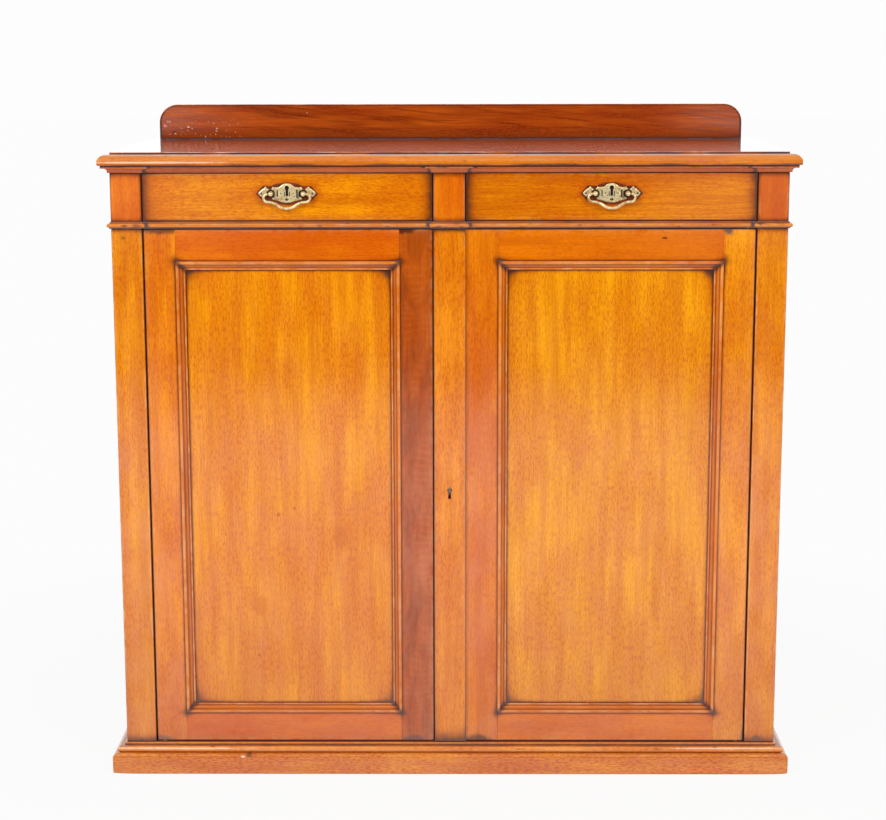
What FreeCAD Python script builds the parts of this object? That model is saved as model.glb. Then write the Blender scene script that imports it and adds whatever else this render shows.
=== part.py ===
import FreeCAD, Part
import math
import os

# Victorian mahogany chiffonier: two frieze drawers over a two-door cupboard, low gallery at the back.
# Millimetres. The origin is on the floor under the middle of the whole piece, +X to the right as one
# faces it, +Y to the back, +Z up. Left and right are the viewer's.

Vector = FreeCAD.Vector
ACROSS = Vector(1, 0, 0)
BACKWARD = Vector(0, 1, 0)
UP = Vector(0, 0, 1)
HALF_ROOT = math.sqrt(0.5)

# ---- Carcase ----
body_width = 1105.0            # over the outer faces of the two side boards
overall_depth = 470.0          # front of the plinth to the back
door_opening_height = 878.3    # bottom board to drawer rail
frieze_height = 79.4           # drawer rail to top rail
side_thickness = 20.0
bottom_thickness = 14.8
face_setback = 4.0             # doors, drawer fronts and rails lie this far behind the pilaster faces
arris = 1.0                    # round on the corners a hand meets

pilaster_width = 50.0
pilaster_thickness = 30.0
centre_width = 52.0            # centre frieze block
centre_pilaster_width = 53.5   # from the right door's meeting edge

drawer_rail_thickness = 11.5
top_rail_thickness = 12.2
rail_depth = 70.0

# ---- Top and gallery ----
top_thickness = 20.8
top_overhang = 17.5
top_edge_height = 8.1          # upright part of the moulded edge
top_edge_round = 2.0           # its lower corner
top_step_inset = 18.5          # thin upper step, in from the widest line
top_step_height = 3.4
top_quirk = 1.5                # flat between step and ovolo

backboard_width = 1064.0
backboard_height = 63.5
backboard_thickness = 18.0
backboard_corner_radius = 33.0
backboard_housing = 1.0        # let into the top
dowel_radius = 4.0
dowel_clearance = 0.05
dowel_length = 27.0
dowel_depth_in_top = 12.0
dowel_count = 4
dowel_margin = 90.0            # first and last dowel, in from the ends of the backboard

# ---- Bed mould under the top ----
bed_foot_projection = 3.3
bed_foot_height = 1.3
bed_cove = 6.2                 # radius of the hollow
bed_fillet_projection = 13.0

# ---- Astragal on the drawer rail ----
astragal_fillet = 2.5
astragal_bevel = 1.8           # how far the upper fillet slopes back
astragal_projection = 6.3
astragal_bead_radius = 3.4
astragal_bead_height = 5.3     # middle of the bead over the rail's underside

# ---- Plinth ----
plinth_height = 35.5
plinth_thickness = 30.0
plinth_projection = 22.0
plinth_edge_radius = 7.0
plinth_back_thickness = 20.0
glue_block_leg = 30.0
glue_block_height = 30.0
torus_projection = 14.5
torus_radius = 5.5
torus_fillet = 3.2             # fillet above it

# ---- Back ----
back_board_thickness = 10.0
back_board_count = 8
back_rebate = 10.0             # how far the back boards lie into the side boards
tongue_thickness = 3.2
tongue_length = 5.0
tongue_clearance = 0.4
board_chamfer = 1.5

# ---- Drawer bearing ----
side_runner_width = 50.0
centre_runner_width = 96.0
dust_board_thickness = 6.0
dust_board_tongue = 6.0
guide_height = 20.0
drawer_stop_length = 34.0
drawer_stop_depth = 14.0
drawer_stop_height = 5.0
drawer_stop_spacing = 250.0

# ---- Drawers ----
drawer_front_thickness = 20.0
drawer_side_thickness = 10.0
drawer_side_height = 77.0
drawer_back_thickness = 10.0
drawer_rear_room = 28.0        # between the rear of a closed drawer and the back boards
drawer_side_gap = 1.5
drawer_end_gap = 1.0           # under and over the front
runner_clearance = 0.3
drawer_bottom_thickness = 6.0
drawer_bottom_rise = 8.0       # bottom board above the lower edge of the sides
drawer_groove = 5.0
groove_clearance = 0.2
dovetail_count = 3
dovetail_lap = 6.0             # wood left in front of the lapped dovetails
dovetail_slope = 1.0 / 7.0
dovetail_root_share = 0.58     # tail width at its root, as a share of the dovetail pitch

# ---- Drawer locks ----
drawer_lock_width = 42.0
drawer_lock_height = 40.0
drawer_lock_thickness = 10.0
drawer_bolt_width = 18.0
drawer_bolt_height = 20.0
drawer_bolt_thickness = 3.6
drawer_bolt_inset = 3.0        # behind the front of the lock case
drawer_bolt_throw = 7.0
lock_clearance = 0.3

# ---- Drawer handles ----
handle_height = 43.9           # axis of the bail over the lower edge of the drawer front
handle_plate_thickness = 2.0
post_spacing = 53.0
post_ball_radius = 3.8
post_neck_radius = 2.2
post_shank_radius = 2.0
post_hole_clearance = 0.1
post_seat_radius = 5.2
post_seat_height = 0.8
post_stand_off = 6.0           # ball centre in front of the plate
nut_across_flats = 7.0
nut_thickness = 4.0
shank_past_nut = 1.0
bail_radius = 2.4
bail_stub_radius = 1.5
pivot_hole_clearance = 0.05
bail_stub_length = 5.0
bail_end_radius = 6.4          # loop beside each post
bail_drop = 23.4               # axis to the middle of the grip
bail_grip_radius = 24.0
key_circle_radius = 3.45
key_slot_width = 3.6
key_circle_rise = 9.6          # key pin over the bail axis
key_slot_drop = 13.0           # key pin to the end of the slot
plate_pin_offset = 42.5
plate_pin_radius = 0.8
plate_pin_rise = 0.8           # plate pins over the bail axis
plate_pin_length = 8.0
plate_pin_head = 0.4           # stands out of the plate

# ---- Doors ----
door_thickness = 22.0
door_side_gap = 2.0            # hinge side
door_end_gap = 1.5             # over and under
meeting_gap = 1.2
hinge_stile_width = 52.0
left_meeting_stile_width = 55.0
right_meeting_stile_width = 107.5
top_rail_height = 53.2
bottom_rail_height = 50.2
tenon_length = 33.0
tenon_haunch = 12.0
tenon_end_clearance = 1.0
panel_thickness = 8.0
panel_setback = 9.0            # panel face behind the face of the frame
panel_groove = 8.0
panel_clearance = 1.0
moulding_width = 15.2
moulding_lap = 1.0             # over the frame
moulding_bead_width = 6.0
moulding_bead_height = 3.0     # in front of the frame
moulding_bead_edge = 0.5       # upright at each side of the bead
moulding_quirk_width = 1.0
moulding_quirk_depth = 0.8     # behind the face of the frame
moulding_cove_sag = 2.0        # hollow behind the line between its ends
moulding_inner_bead = 3.2      # width of the small bead on the panel
moulding_inner_height = 3.4    # over the panel
moulding_inner_edge = 1.4      # upright at each side of the small bead

# ---- Door pivots ----
pivot_from_edge = 12.0
pivot_from_face = 5.0
pivot_pin_radius = 2.5
pivot_pin_length = 9.0         # past the face of the carcase plate
pivot_plate_length = 46.0
pivot_plate_width = 12.0
pivot_plate_thickness = 2.0
pivot_plate_from_edge = 2.0
pivot_plate_from_face = 1.0
pivot_collar_radius = 4.0
pivot_collar_clearance = 0.3
pivot_hole_depth = 10.0
pivot_wood_clearance = 0.5

# ---- Door lock, its key and strike ----
door_key_height = 491.0        # key pin over the floor
door_key_circle_radius = 3.9
door_key_slot_width = 4.6
door_key_slot_drop = 15.0
door_lock_width = 60.0
door_lock_above_key = 23.0
door_lock_below_key = 33.0
door_lock_thickness = 12.0
door_bolt_height = 20.0
door_bolt_thickness = 5.0
door_bolt_length = 32.0
door_bolt_inset = 3.0
door_bolt_throw = 8.0
strike_thickness = 1.5
strike_margin = 14.0
strike_edge = 2.0

# ---- Flush bolts on the left door ----
flush_bolt_from_edge = 14.0
flush_bolt_from_face = 15.0
flush_bolt_radius = 3.0
flush_bolt_length = 80.0
flush_bolt_recess = 0.5
flush_bolt_throw = 10.0
flush_knob_from_end = 65.0
flush_knob_radius = 3.5
flush_knob_stem_radius = 2.0
flush_knob_length = 3.0
flush_plate_length = 88.0
flush_plate_width = 14.0
flush_plate_thickness = 2.0
flush_plate_from_end = 4.0
flush_clearance = 0.3
keeper_length = 24.0
keeper_width = 14.0
keeper_thickness = 1.5
keeper_hole_depth = 9.5

# ---- Cupboard inside ----
shelf_height = 470.0           # underside over the floor
shelf_thickness = 18.0
shelf_front_gap = 8.0          # behind the doors
shelf_side_gap = 0.5
bearer_section = 20.0
bearer_inset = 16.0            # from the front and the back of the shelf
door_stop_section = 12.0
bottom_stop_height = 8.0
door_stop_clearance = 0.5
door_stop_end = 30.0           # short of the doors' hinge edges, clear of their turning corners

# ---- Planes that follow from these ----
half_body = body_width / 2
face = plinth_projection - overall_depth / 2           # faces of the pilasters
back = overall_depth / 2
recess = face + face_setback                           # faces of doors, drawer fronts and rails
deck = plinth_height + bottom_thickness                # top of the bottom board
door_head = deck + door_opening_height                 # underside of the drawer rail
frieze_foot = door_head + drawer_rail_thickness        # top of the drawer rail
frieze_head = frieze_foot + frieze_height              # underside of the top rail
top_underside = frieze_head + top_rail_thickness
top_surface = top_underside + top_thickness

side_inside = half_body - side_thickness
side_front = face + pilaster_thickness
rail_back = recess + rail_depth
back_inside = back - back_board_thickness
pilaster_inside = half_body - pilaster_width
centre_half = centre_width / 2
plinth_bearing = plinth_thickness - plinth_projection  # how far the plinth reaches under the body

door_back = recess + door_thickness
door_low = deck + door_end_gap
door_high = door_head - door_end_gap
hinge_edge = pilaster_inside - door_side_gap
right_meeting_edge = -centre_half
left_meeting_edge = right_meeting_edge - meeting_gap
pivot_y = recess + pivot_from_face

front_low = frieze_foot + drawer_end_gap
front_high = frieze_head - drawer_end_gap
front_back = recess + drawer_front_thickness
drawer_foot = frieze_foot + runner_clearance
drawer_rear = back_inside - drawer_rear_room
handle_axis = front_low + handle_height
key_pin = handle_axis + key_circle_rise
plate_face = recess - handle_plate_thickness
ball_y = plate_face - post_stand_off


# ---- Shapes used throughout ----
def block(xs, ys, zs):
    """Square-edged board between pairs of x, y and z planes."""
    corner = Vector(min(xs), min(ys), min(zs))
    return Part.makeBox(abs(xs[1] - xs[0]), abs(ys[1] - ys[0]), abs(zs[1] - zs[0]), corner)


def rod(start, end, radius):
    """Round bar between two points."""
    return Part.makeCylinder(radius, (end - start).Length, start, end - start)


def outline_face(steps, place):
    """Flat face inside a closed outline; a step is a corner, or (way point, end) for a round stretch."""
    edges = []
    here = steps[0]
    for step in steps[1:] + steps[:1]:
        if isinstance(step[0], tuple):
            way, end = step
            edges.append(Part.Arc(place(*here), place(*way), place(*end)).toShape())
        else:
            end = step
            if end != here:
                edges.append(Part.LineSegment(place(*here), place(*end)).toShape())
        here = end
    return Part.Face(Part.Wire(edges))


def outline_points(steps):
    """Every corner and way point of an outline."""
    points = []
    for step in steps:
        points.extend(step if isinstance(step[0], tuple) else [step])
    return points


def plan_prism(corners, low, high):
    """Upright prism over a plan outline of (x, y) corners."""
    return outline_face(corners, lambda x, y: Vector(x, y, low)).extrude(UP * (high - low))


def eased(solid, radius, chosen):
    """Solid with its chosen edges rounded."""
    return solid.makeFillet(radius, [edge for edge in solid.Edges if chosen(edge)])


def lies_on(y):
    """Test for an edge that lies in the plane at y."""
    return lambda edge: all(abs(vertex.Y - y) < 1e-6 for vertex in edge.Vertexes)


def upright_on(y):
    """Test for an upright edge in the plane at y."""
    return lambda edge: lies_on(y)(edge) and abs(edge.tangentAt(edge.FirstParameter).z) > 0.9


def mitred_run(profile, start, along, length, out, up, mitres):
    """One length of moulding. Its ends are square (0), outside mitres (1) or inside mitres (-1)."""
    points = outline_points(profile)
    near = min(p for p, h in points) - 1.0
    far = max(p for p, h in points) + 1.0
    low = min(h for p, h in points) - 1.0
    high = max(h for p, h in points) + 1.0
    section = outline_face(profile, lambda p, h: start - along * far + out * p + up * h)
    bar = section.extrude(along * (length + 2 * far))
    first, last = mitres
    ends = [(-first * near, near), (length + last * near, near)]
    ends += [(length + last * far, far), (-first * far, far)]
    kept = outline_face(ends, lambda s, p: start + along * s + out * p + up * low)
    return bar.common(kept.extrude(up * (high - low))).Solids[0]


def moulding_round(profile, corners, foot):
    """Mitred lengths of a moulding along a plan path; the profile stands out to the right of the path."""
    steps = [end - start for start, end in zip(corners, corners[1:])]
    headings = [Vector(step).normalize() for step in steps]
    turns = [0] + [round(a.cross(b).z) for a, b in zip(headings, headings[1:])] + [0]
    runs = []
    for number, heading in enumerate(headings):
        start = corners[number] + UP * foot
        ends = (turns[number], turns[number + 1])
        length = steps[number].Length
        runs.append(mitred_run(profile, start, heading, length, heading.cross(UP), UP, ends))
    return runs


def round_the_body():
    """Plan path round three sides of the body, straight along the front."""
    return [Vector(x, y, 0) for x, y in
            ((-half_body, back), (-half_body, face), (half_body, face), (half_body, back))]


def front_break_points():
    """Front of the body in plan: forward at the pilasters, set back between them."""
    breaks = []
    outer = (pilaster_inside, half_body)
    for low, high in ((-outer[1], -outer[0]), (-centre_half, centre_half), outer):
        breaks += [(low, recess), (low, face), (high, face), (high, recess)]
    return breaks[1:-1]


def round_the_breaks():
    """Plan path round three sides of the body that breaks forward over the pilasters."""
    corners = [(-half_body, back)] + front_break_points() + [(half_body, back)]
    return [Vector(x, y, 0) for x, y in corners]


def keyhole(x, pin_z, ys, radius, slot_width, slot_drop):
    """Key opening through the given depth: a round eye with a slot under it."""
    eye = rod(Vector(x, min(ys), pin_z), Vector(x, max(ys), pin_z), radius)
    half = slot_width / 2
    return eye.fuse(block((x - half, x + half), ys, (pin_z - slot_drop, pin_z)))


# ---- Carcase ----
def front_rail(low, high):
    """Rail that runs over the pilaster heads at the front and between the side boards behind them."""
    corners = front_break_points()
    corners += [(half_body, side_front), (side_inside, side_front), (side_inside, rail_back)]
    corners += [(-side_inside, rail_back), (-side_inside, side_front), (-half_body, side_front)]
    return plan_prism(corners, low, high)


def dust_board_zone():
    """Heights between which the dust boards lie in their grooves."""
    middle = (door_head + frieze_foot) / 2
    return (middle - dust_board_thickness / 2, middle + dust_board_thickness / 2)


def dust_board_span(side):
    """Ends of one dust board across the width, tongues included."""
    inner = centre_runner_width / 2 - dust_board_tongue
    outer = side_inside - side_runner_width + dust_board_tongue
    return (side * inner, side * outer)


def dust_boards():
    depth = (rail_back - dust_board_tongue, back_inside)
    return [block(dust_board_span(side), depth, dust_board_zone()) for side in (-1, 1)]


def runner_spans():
    """Ends across the width of the left, centre and right drawer runners."""
    outer = side_inside - side_runner_width
    half = centre_runner_width / 2
    return ((-side_inside, -outer), (-half, half), (outer, side_inside))


def drawer_runners():
    runners = [block(span, (rail_back, back_inside), (door_head, frieze_foot)) for span in runner_spans()]
    for board in dust_boards():
        runners = [runner.cut(board) for runner in runners]
    return runners


def drawer_kickers():
    return [block(span, (rail_back, back_inside), (frieze_head, top_underside)) for span in runner_spans()]


def drawer_guides():
    spans = ((-side_inside, -pilaster_inside), (-centre_half, centre_half), (pilaster_inside, side_inside))
    heights = (frieze_foot, frieze_foot + guide_height)
    return [block(span, (side_front, back_inside), heights) for span in spans]


def drawer_rail():
    rail = front_rail(door_head, frieze_foot)
    for board in dust_boards():
        rail = rail.cut(board)
    for cut in head_cuts():
        rail = rail.cut(cut)
    return rail


def head_cuts():
    """What is let into the underside of the drawer rail: pivot plates and the keeper of the top bolt."""
    plates = [pivot_plate(side, (door_head, door_head + pivot_plate_thickness)) for side in (-1, 1)]
    return plates + keeper_cuts(door_head, 1)


def foot_cuts():
    """What is let into the top of the bottom board: pivot plates and the keeper of the bottom bolt."""
    plates = [pivot_plate(side, (deck - pivot_plate_thickness, deck)) for side in (-1, 1)]
    return plates + keeper_cuts(deck, -1)


def bottom_board():
    board = block((-half_body, half_body), (face, back), (plinth_height, deck))
    for cut in foot_cuts():
        board = board.cut(cut)
    return board


def top_rail():
    rail = front_rail(frieze_head, top_underside)
    for centre in drawer_centres():
        half = drawer_bolt_width / 2 + 2 * lock_clearance
        ys = drawer_bolt_depths()
        slot = (ys[0] - 2 * lock_clearance, ys[1] + 2 * lock_clearance)
        depth = drawer_bolt_throw + lock_clearance
        rail = rail.cut(block((centre - half, centre + half), slot, (frieze_head, frieze_head + depth)))
    return rail


def side_board(side):
    board = block((side * side_inside, side * half_body), (side_front, back), (deck, top_underside))
    rebate = (side * side_inside, side * (side_inside + back_rebate))
    return board.cut(block(rebate, (back_inside, back), (deck, top_underside)))


def outer_pilaster(side):
    post = block((side * pilaster_inside, side * half_body), (face, side_front), (deck, door_head))
    return eased(post, arris, upright_on(face))


def frieze_blocks():
    spans = ((-half_body, -pilaster_inside), (-centre_half, centre_half), (pilaster_inside, half_body))
    blocks = [block(span, (face, side_front), (frieze_foot, frieze_head)) for span in spans]
    return [eased(post, arris, upright_on(face)) for post in blocks]


def back_boards():
    """Upright boards, each with a tongue that lies in a groove of the next and chamfers on the back."""
    left = -(side_inside + back_rebate)
    width = -2 * left / back_board_count
    middle = (back_inside + back) / 2
    half = tongue_thickness / 2
    room = half + tongue_clearance / 2
    boards = []
    for number in range(back_board_count):
        low = left + number * width
        high = low + width
        corners = [(low, back_inside)]
        corners += [(high, back_inside)]
        if number < back_board_count - 1:
            corners += [(high, middle - half), (high + tongue_length, middle - half)]
            corners += [(high + tongue_length, middle + half), (high, middle + half)]
        corners += [(high, back - board_chamfer), (high - board_chamfer, back)]
        corners += [(low + board_chamfer, back), (low, back - board_chamfer)]
        if number > 0:
            deep = low + tongue_length + tongue_clearance
            corners += [(low, middle + room), (deep, middle + room)]
            corners += [(deep, middle - room), (low, middle - room)]
        boards.append(plan_prism(corners, deck, top_underside))
    return boards


# ---- Top, gallery and mouldings ----
def top_edge():
    """Half section of the top: p outwards from the body, h up from the underside."""
    widest = top_overhang
    corner = widest - top_edge_round
    turn = (corner + top_edge_round * HALF_ROOT, top_edge_round * (1 - HALF_ROOT))
    step = widest - top_step_inset
    ovolo_top = (step + top_quirk, top_thickness - top_step_height)
    rise = ovolo_top[1] - top_edge_height
    run = widest - ovolo_top[0]
    ovolo_way = (ovolo_top[0] + run * HALF_ROOT, top_edge_height + rise * HALF_ROOT)
    return [(corner, 0), (turn, (widest, top_edge_round)), (widest, top_edge_height),
            (ovolo_way, ovolo_top), (step, ovolo_top[1]), (step, top_thickness)]


def top_board():
    """Board with a stepped ovolo edge on three sides: what three moulded slabs have in common."""
    width = body_width + 2 * top_overhang
    depth = back - face
    front = [(-depth, 0)] + top_edge() + [(-depth, top_thickness)]
    edge = outline_face(front, lambda p, h: Vector(-width / 2, face - p, top_underside + h))
    slab = edge.extrude(ACROSS * width)
    across = [(-width, 0)] + top_edge() + [(-width, top_thickness)]
    for side in (-1, 1):
        place = lambda p, h: Vector(side * (half_body + p), face - top_overhang, top_underside + h)
        slab = slab.common(outline_face(across, place).extrude(BACKWARD * (depth + top_overhang)))
    half_board = backboard_width / 2
    housing = (top_surface - backboard_housing, top_surface)
    slab = slab.cut(block((-half_board, half_board), (back - backboard_thickness, back), housing))
    for hole in dowels(dowel_clearance):
        slab = slab.cut(hole)
    return slab


def dowels(clearance):
    """Dowels between top and backboard, or with a clearance the holes for them."""
    y = back - backboard_thickness / 2
    foot = top_surface - dowel_depth_in_top - clearance
    head = top_surface - dowel_depth_in_top + dowel_length + clearance
    span = backboard_width - 2 * dowel_margin
    places = [-span / 2 + span * number / (dowel_count - 1) for number in range(dowel_count)]
    return [rod(Vector(x, y, foot), Vector(x, y, head), dowel_radius + clearance) for x in places]


def backboard():
    half = backboard_width / 2
    radius = backboard_corner_radius
    shift = radius * (1 - HALF_ROOT)
    foot = top_surface - backboard_housing
    head = top_surface + backboard_height
    outline = [(-half, foot), (-half, head - radius)]
    outline += [((-half + shift, head - shift), (-half + radius, head)), (half - radius, head)]
    outline += [((half - shift, head - shift), (half, head - radius)), (half, foot)]
    front = back - backboard_thickness
    board = outline_face(outline, lambda x, z: Vector(x, front, z)).extrude(BACKWARD * backboard_thickness)
    board = eased(board, arris, lambda edge: lies_on(front)(edge) and edge.BoundBox.ZMax > top_surface)
    for hole in dowels(dowel_clearance):
        board = board.cut(hole)
    return board


def bed_profile():
    """Cove under a square fillet, on a small foot."""
    foot = (bed_foot_projection, bed_foot_height)
    way = (foot[0] + bed_cove * (1 - HALF_ROOT), foot[1] + bed_cove * HALF_ROOT)
    head = (foot[0] + bed_cove, foot[1] + bed_cove)
    return [(0, 0), (foot[0], 0), foot, (way, head), (bed_fillet_projection, head[1]),
            (bed_fillet_projection, top_rail_thickness), (0, top_rail_thickness)]


def astragal_profile():
    """Half-round bead over a square fillet and under one that slopes back, as high as the drawer rail."""
    centre = astragal_projection - astragal_bead_radius
    low = astragal_bead_height - astragal_bead_radius
    high = astragal_bead_height + astragal_bead_radius
    return [(0, 0), (astragal_fillet, 0), (astragal_fillet, low), (centre, low),
            ((astragal_projection, astragal_bead_height), (centre, high)), (astragal_fillet, high),
            (astragal_fillet - astragal_bevel, drawer_rail_thickness), (0, drawer_rail_thickness)]


def plinth_profile():
    """Plinth board with its upper outer corner rounded."""
    corner = plinth_projection - plinth_edge_radius
    shift = plinth_edge_radius * HALF_ROOT
    shoulder = plinth_height - plinth_edge_radius
    return [(-plinth_bearing, 0), (plinth_projection, 0), (plinth_projection, shoulder),
            ((corner + shift, shoulder + shift), (corner, plinth_height)), (-plinth_bearing, plinth_height)]


def torus_profile():
    """Torus that lies on the plinth, under a small fillet; as high as the bottom board is thick."""
    centre = torus_projection - torus_radius
    top = 2 * torus_radius
    return [(0, 0), (centre, 0), ((torus_projection, torus_radius), (centre, top)), (torus_fillet, top),
            (torus_fillet, bottom_thickness), (0, bottom_thickness)]


def plinth_glue_blocks():
    """Three-cornered blocks in the angle of plinth and bottom board."""
    inner_x = half_body - plinth_bearing
    inner_front = face + plinth_bearing
    inner_back = back - plinth_back_thickness
    leg = glue_block_leg
    low = plinth_height - glue_block_height
    blocks = []
    for side in (-1, 1):
        for y, away in ((inner_front, 1), (inner_back, -1)):
            corners = [(side * inner_x, y), (side * (inner_x - leg), y), (side * inner_x, y + away * leg)]
            blocks.append(plan_prism(corners, low, plinth_height))
    for x in (-inner_x / 3, inner_x / 3):
        section = [(inner_front, plinth_height), (inner_front + leg, plinth_height), (inner_front, low)]
        start = x - leg
        blocks.append(outline_face(section, lambda y, z: Vector(start, y, z)).extrude(ACROSS * 2 * leg))
    return blocks


# ---- Drawers ----
def drawer_centres():
    middle = (centre_half + pilaster_inside) / 2
    return (-middle, middle)


def drawer_span(centre):
    """Ends of one drawer front across the width."""
    half = (pilaster_inside - centre_half) / 2 - drawer_side_gap
    return (centre - half, centre + half)


def dovetails(xs, root, tip):
    """Row of tails up the end of a drawer side, wider at the tip than at the root."""
    pitch = drawer_side_height / dovetail_count
    narrow = pitch * dovetail_root_share / 2
    wide = narrow + abs(tip - root) * dovetail_slope
    row = []
    for number in range(dovetail_count):
        middle = drawer_foot + pitch * (number + 0.5)
        section = [(root, middle - narrow), (tip, middle - wide),
                   (tip, middle + wide), (root, middle + narrow)]
        place = lambda y, z: Vector(min(xs), y, z)
        row.append(outline_face(section, place).extrude(ACROSS * drawer_side_thickness))
    return row


def drawer_tails(centre):
    """All tails of a drawer: lapped ones into the front, through ones into the back."""
    left, right = drawer_span(centre)
    rear = drawer_rear - drawer_back_thickness
    found = []
    for xs in ((left, left + drawer_side_thickness), (right - drawer_side_thickness, right)):
        found.append(dovetails(xs, front_back, recess + dovetail_lap) + dovetails(xs, rear, drawer_rear))
    return found


def drawer_bottom(centre):
    left, right = drawer_span(centre)
    reach = drawer_side_thickness - drawer_groove + groove_clearance
    low = drawer_foot + drawer_bottom_rise
    depth = (front_back - drawer_groove + groove_clearance, drawer_rear)
    return block((left + reach, right - reach), depth, (low, low + drawer_bottom_thickness))


def bottom_groove(centre):
    """Room that the drawer bottom takes in the sides and the front."""
    left, right = drawer_span(centre)
    reach = drawer_side_thickness - drawer_groove
    low = drawer_foot + drawer_bottom_rise
    depth = (front_back - drawer_groove, drawer_rear)
    return block((left + reach, right - reach), depth, (low, low + drawer_bottom_thickness))


def drawer_sides(centre):
    left, right = drawer_span(centre)
    depth = (front_back, drawer_rear - drawer_back_thickness)
    heights = (drawer_foot, drawer_foot + drawer_side_height)
    spans = ((left, left + drawer_side_thickness), (right - drawer_side_thickness, right))
    sides = []
    for span, row in zip(spans, drawer_tails(centre)):
        board = block(span, depth, heights).multiFuse(row).removeSplitter()
        sides.append(board.cut(bottom_groove(centre)).Solids[0])
    return sides


def drawer_back(centre):
    """Back over the drawer bottom, with sockets for the through dovetails."""
    low = drawer_foot + drawer_bottom_rise + drawer_bottom_thickness
    depth = (drawer_rear - drawer_back_thickness, drawer_rear)
    board = block(drawer_span(centre), depth, (low, drawer_foot + drawer_side_height))
    for row in drawer_tails(centre):
        board = board.cut(Part.makeCompound(row))
    return board


def drawer_bolt_depths():
    """Front and back planes of the drawer lock bolt."""
    start = front_back - drawer_lock_thickness + drawer_bolt_inset
    return (start, start + drawer_bolt_thickness)


def drawer_lock_case(centre):
    half = drawer_lock_width / 2
    depth = (front_back - drawer_lock_thickness, front_back)
    return block((centre - half, centre + half), depth, (front_high - drawer_lock_height, front_high))


def drawer_lock(centre):
    half = drawer_bolt_width / 2 + lock_clearance
    ys = drawer_bolt_depths()
    way = (ys[0] - lock_clearance, ys[1] + lock_clearance)
    foot = front_high - drawer_bolt_height - lock_clearance
    case = drawer_lock_case(centre).cut(block((centre - half, centre + half), way, (foot, front_high)))
    entry = (front_back - drawer_lock_thickness, way[1])
    return case.cut(keyhole(centre, key_pin, entry, key_circle_radius, key_slot_width, key_slot_drop))


def drawer_lock_bolt(centre):
    half = drawer_bolt_width / 2
    top = front_high - lock_clearance
    bottom = top - drawer_bolt_height + lock_clearance
    return block((centre - half, centre + half), drawer_bolt_depths(), (bottom, top))


def post_places(centre):
    return (centre - post_spacing / 2, centre + post_spacing / 2)


def drawer_front(centre):
    """Front with lapped dovetail sockets, groove, lock recess, keyhole and holes for the handle posts."""
    board = block(drawer_span(centre), (recess, front_back), (front_low, front_high))
    board = eased(board, arris, lies_on(recess))
    for row in drawer_tails(centre):
        board = board.cut(Part.makeCompound(row))
    board = board.cut(bottom_groove(centre)).cut(drawer_lock_case(centre))
    through = (recess, front_back)
    board = board.cut(keyhole(centre, key_pin, through, key_circle_radius, key_slot_width, key_slot_drop))
    for x in post_places(centre):
        mouth = Vector(x, recess, handle_axis)
        radius = post_shank_radius + post_hole_clearance
        board = board.cut(rod(mouth, Vector(x, front_back, handle_axis), radius))
    for x in plate_pin_places(centre):
        end = Vector(x, plate_face + plate_pin_length, plate_pin_height())
        board = board.cut(rod(Vector(x, recess, plate_pin_height()), end, plate_pin_radius))
    return board


# ---- Drawer handles ----
def plate_pin_places(centre):
    return (centre - plate_pin_offset, centre + plate_pin_offset)


def plate_pin_height():
    return handle_axis + plate_pin_rise


def plate_half_outline():
    """Right half of the handle plate from top middle to bottom middle: cartouche, cusps, notches and tip."""
    return [(0, 17.0), ((5.2, 16.2), (9.5, 13.6)), ((13.2, 11.2), (17.4, 10.6)), ((20.8, 10.6), (23.8, 12.2)),
            ((26.8, 7.4), (31.4, 8.2)), (35.4, 12.2), ((36.6, 10.2), (38.4, 8.6)), ((43.2, 5.4), (47.0, 0.6)),
            ((44.6, -2.6), (41.0, -5.4)), ((37.4, -3.0), (33.6, -3.2)), ((28.4, -5.6), (24.6, -5.2)),
            (23.4, -9.4), ((17.6, -10.8), (12.5, -12.0)), ((6.8, -14.2), (0, -14.8))]


def mirrored(steps):
    """The outline's other half, walked back from its last point to its first."""
    flip = lambda point: (-point[0], point[1])
    walked = []
    ends = [step[1] if isinstance(step[0], tuple) else step for step in steps]
    for number in range(len(steps) - 1, 0, -1):
        end = flip(ends[number - 1])
        if isinstance(steps[number][0], tuple):
            walked.append((flip(steps[number][0]), end))
        else:
            walked.append(end)
    return walked


def handle_plate(centre):
    """Pierced brass plate with a raised seat round each post."""
    half = plate_half_outline()
    place = lambda x, z: Vector(centre + x, plate_face, handle_axis + z)
    plate = outline_face(half + mirrored(half), place).extrude(BACKWARD * handle_plate_thickness)
    for x in post_places(centre):
        seat = Vector(x, plate_face - post_seat_height, handle_axis)
        plate = plate.fuse(rod(seat, Vector(x, recess, handle_axis), post_seat_radius))
    for x in post_places(centre):
        seat = Vector(x, plate_face - post_seat_height, handle_axis)
        plate = plate.cut(rod(seat, Vector(x, recess, handle_axis), post_shank_radius + post_hole_clearance))
    for x in plate_pin_places(centre):
        hole = Vector(x, plate_face, plate_pin_height())
        plate = plate.cut(rod(hole, Vector(x, recess, plate_pin_height()), plate_pin_radius))
    through = (plate_face, recess)
    return plate.cut(keyhole(centre, key_pin, through, key_circle_radius, key_slot_width, key_slot_drop))


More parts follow.
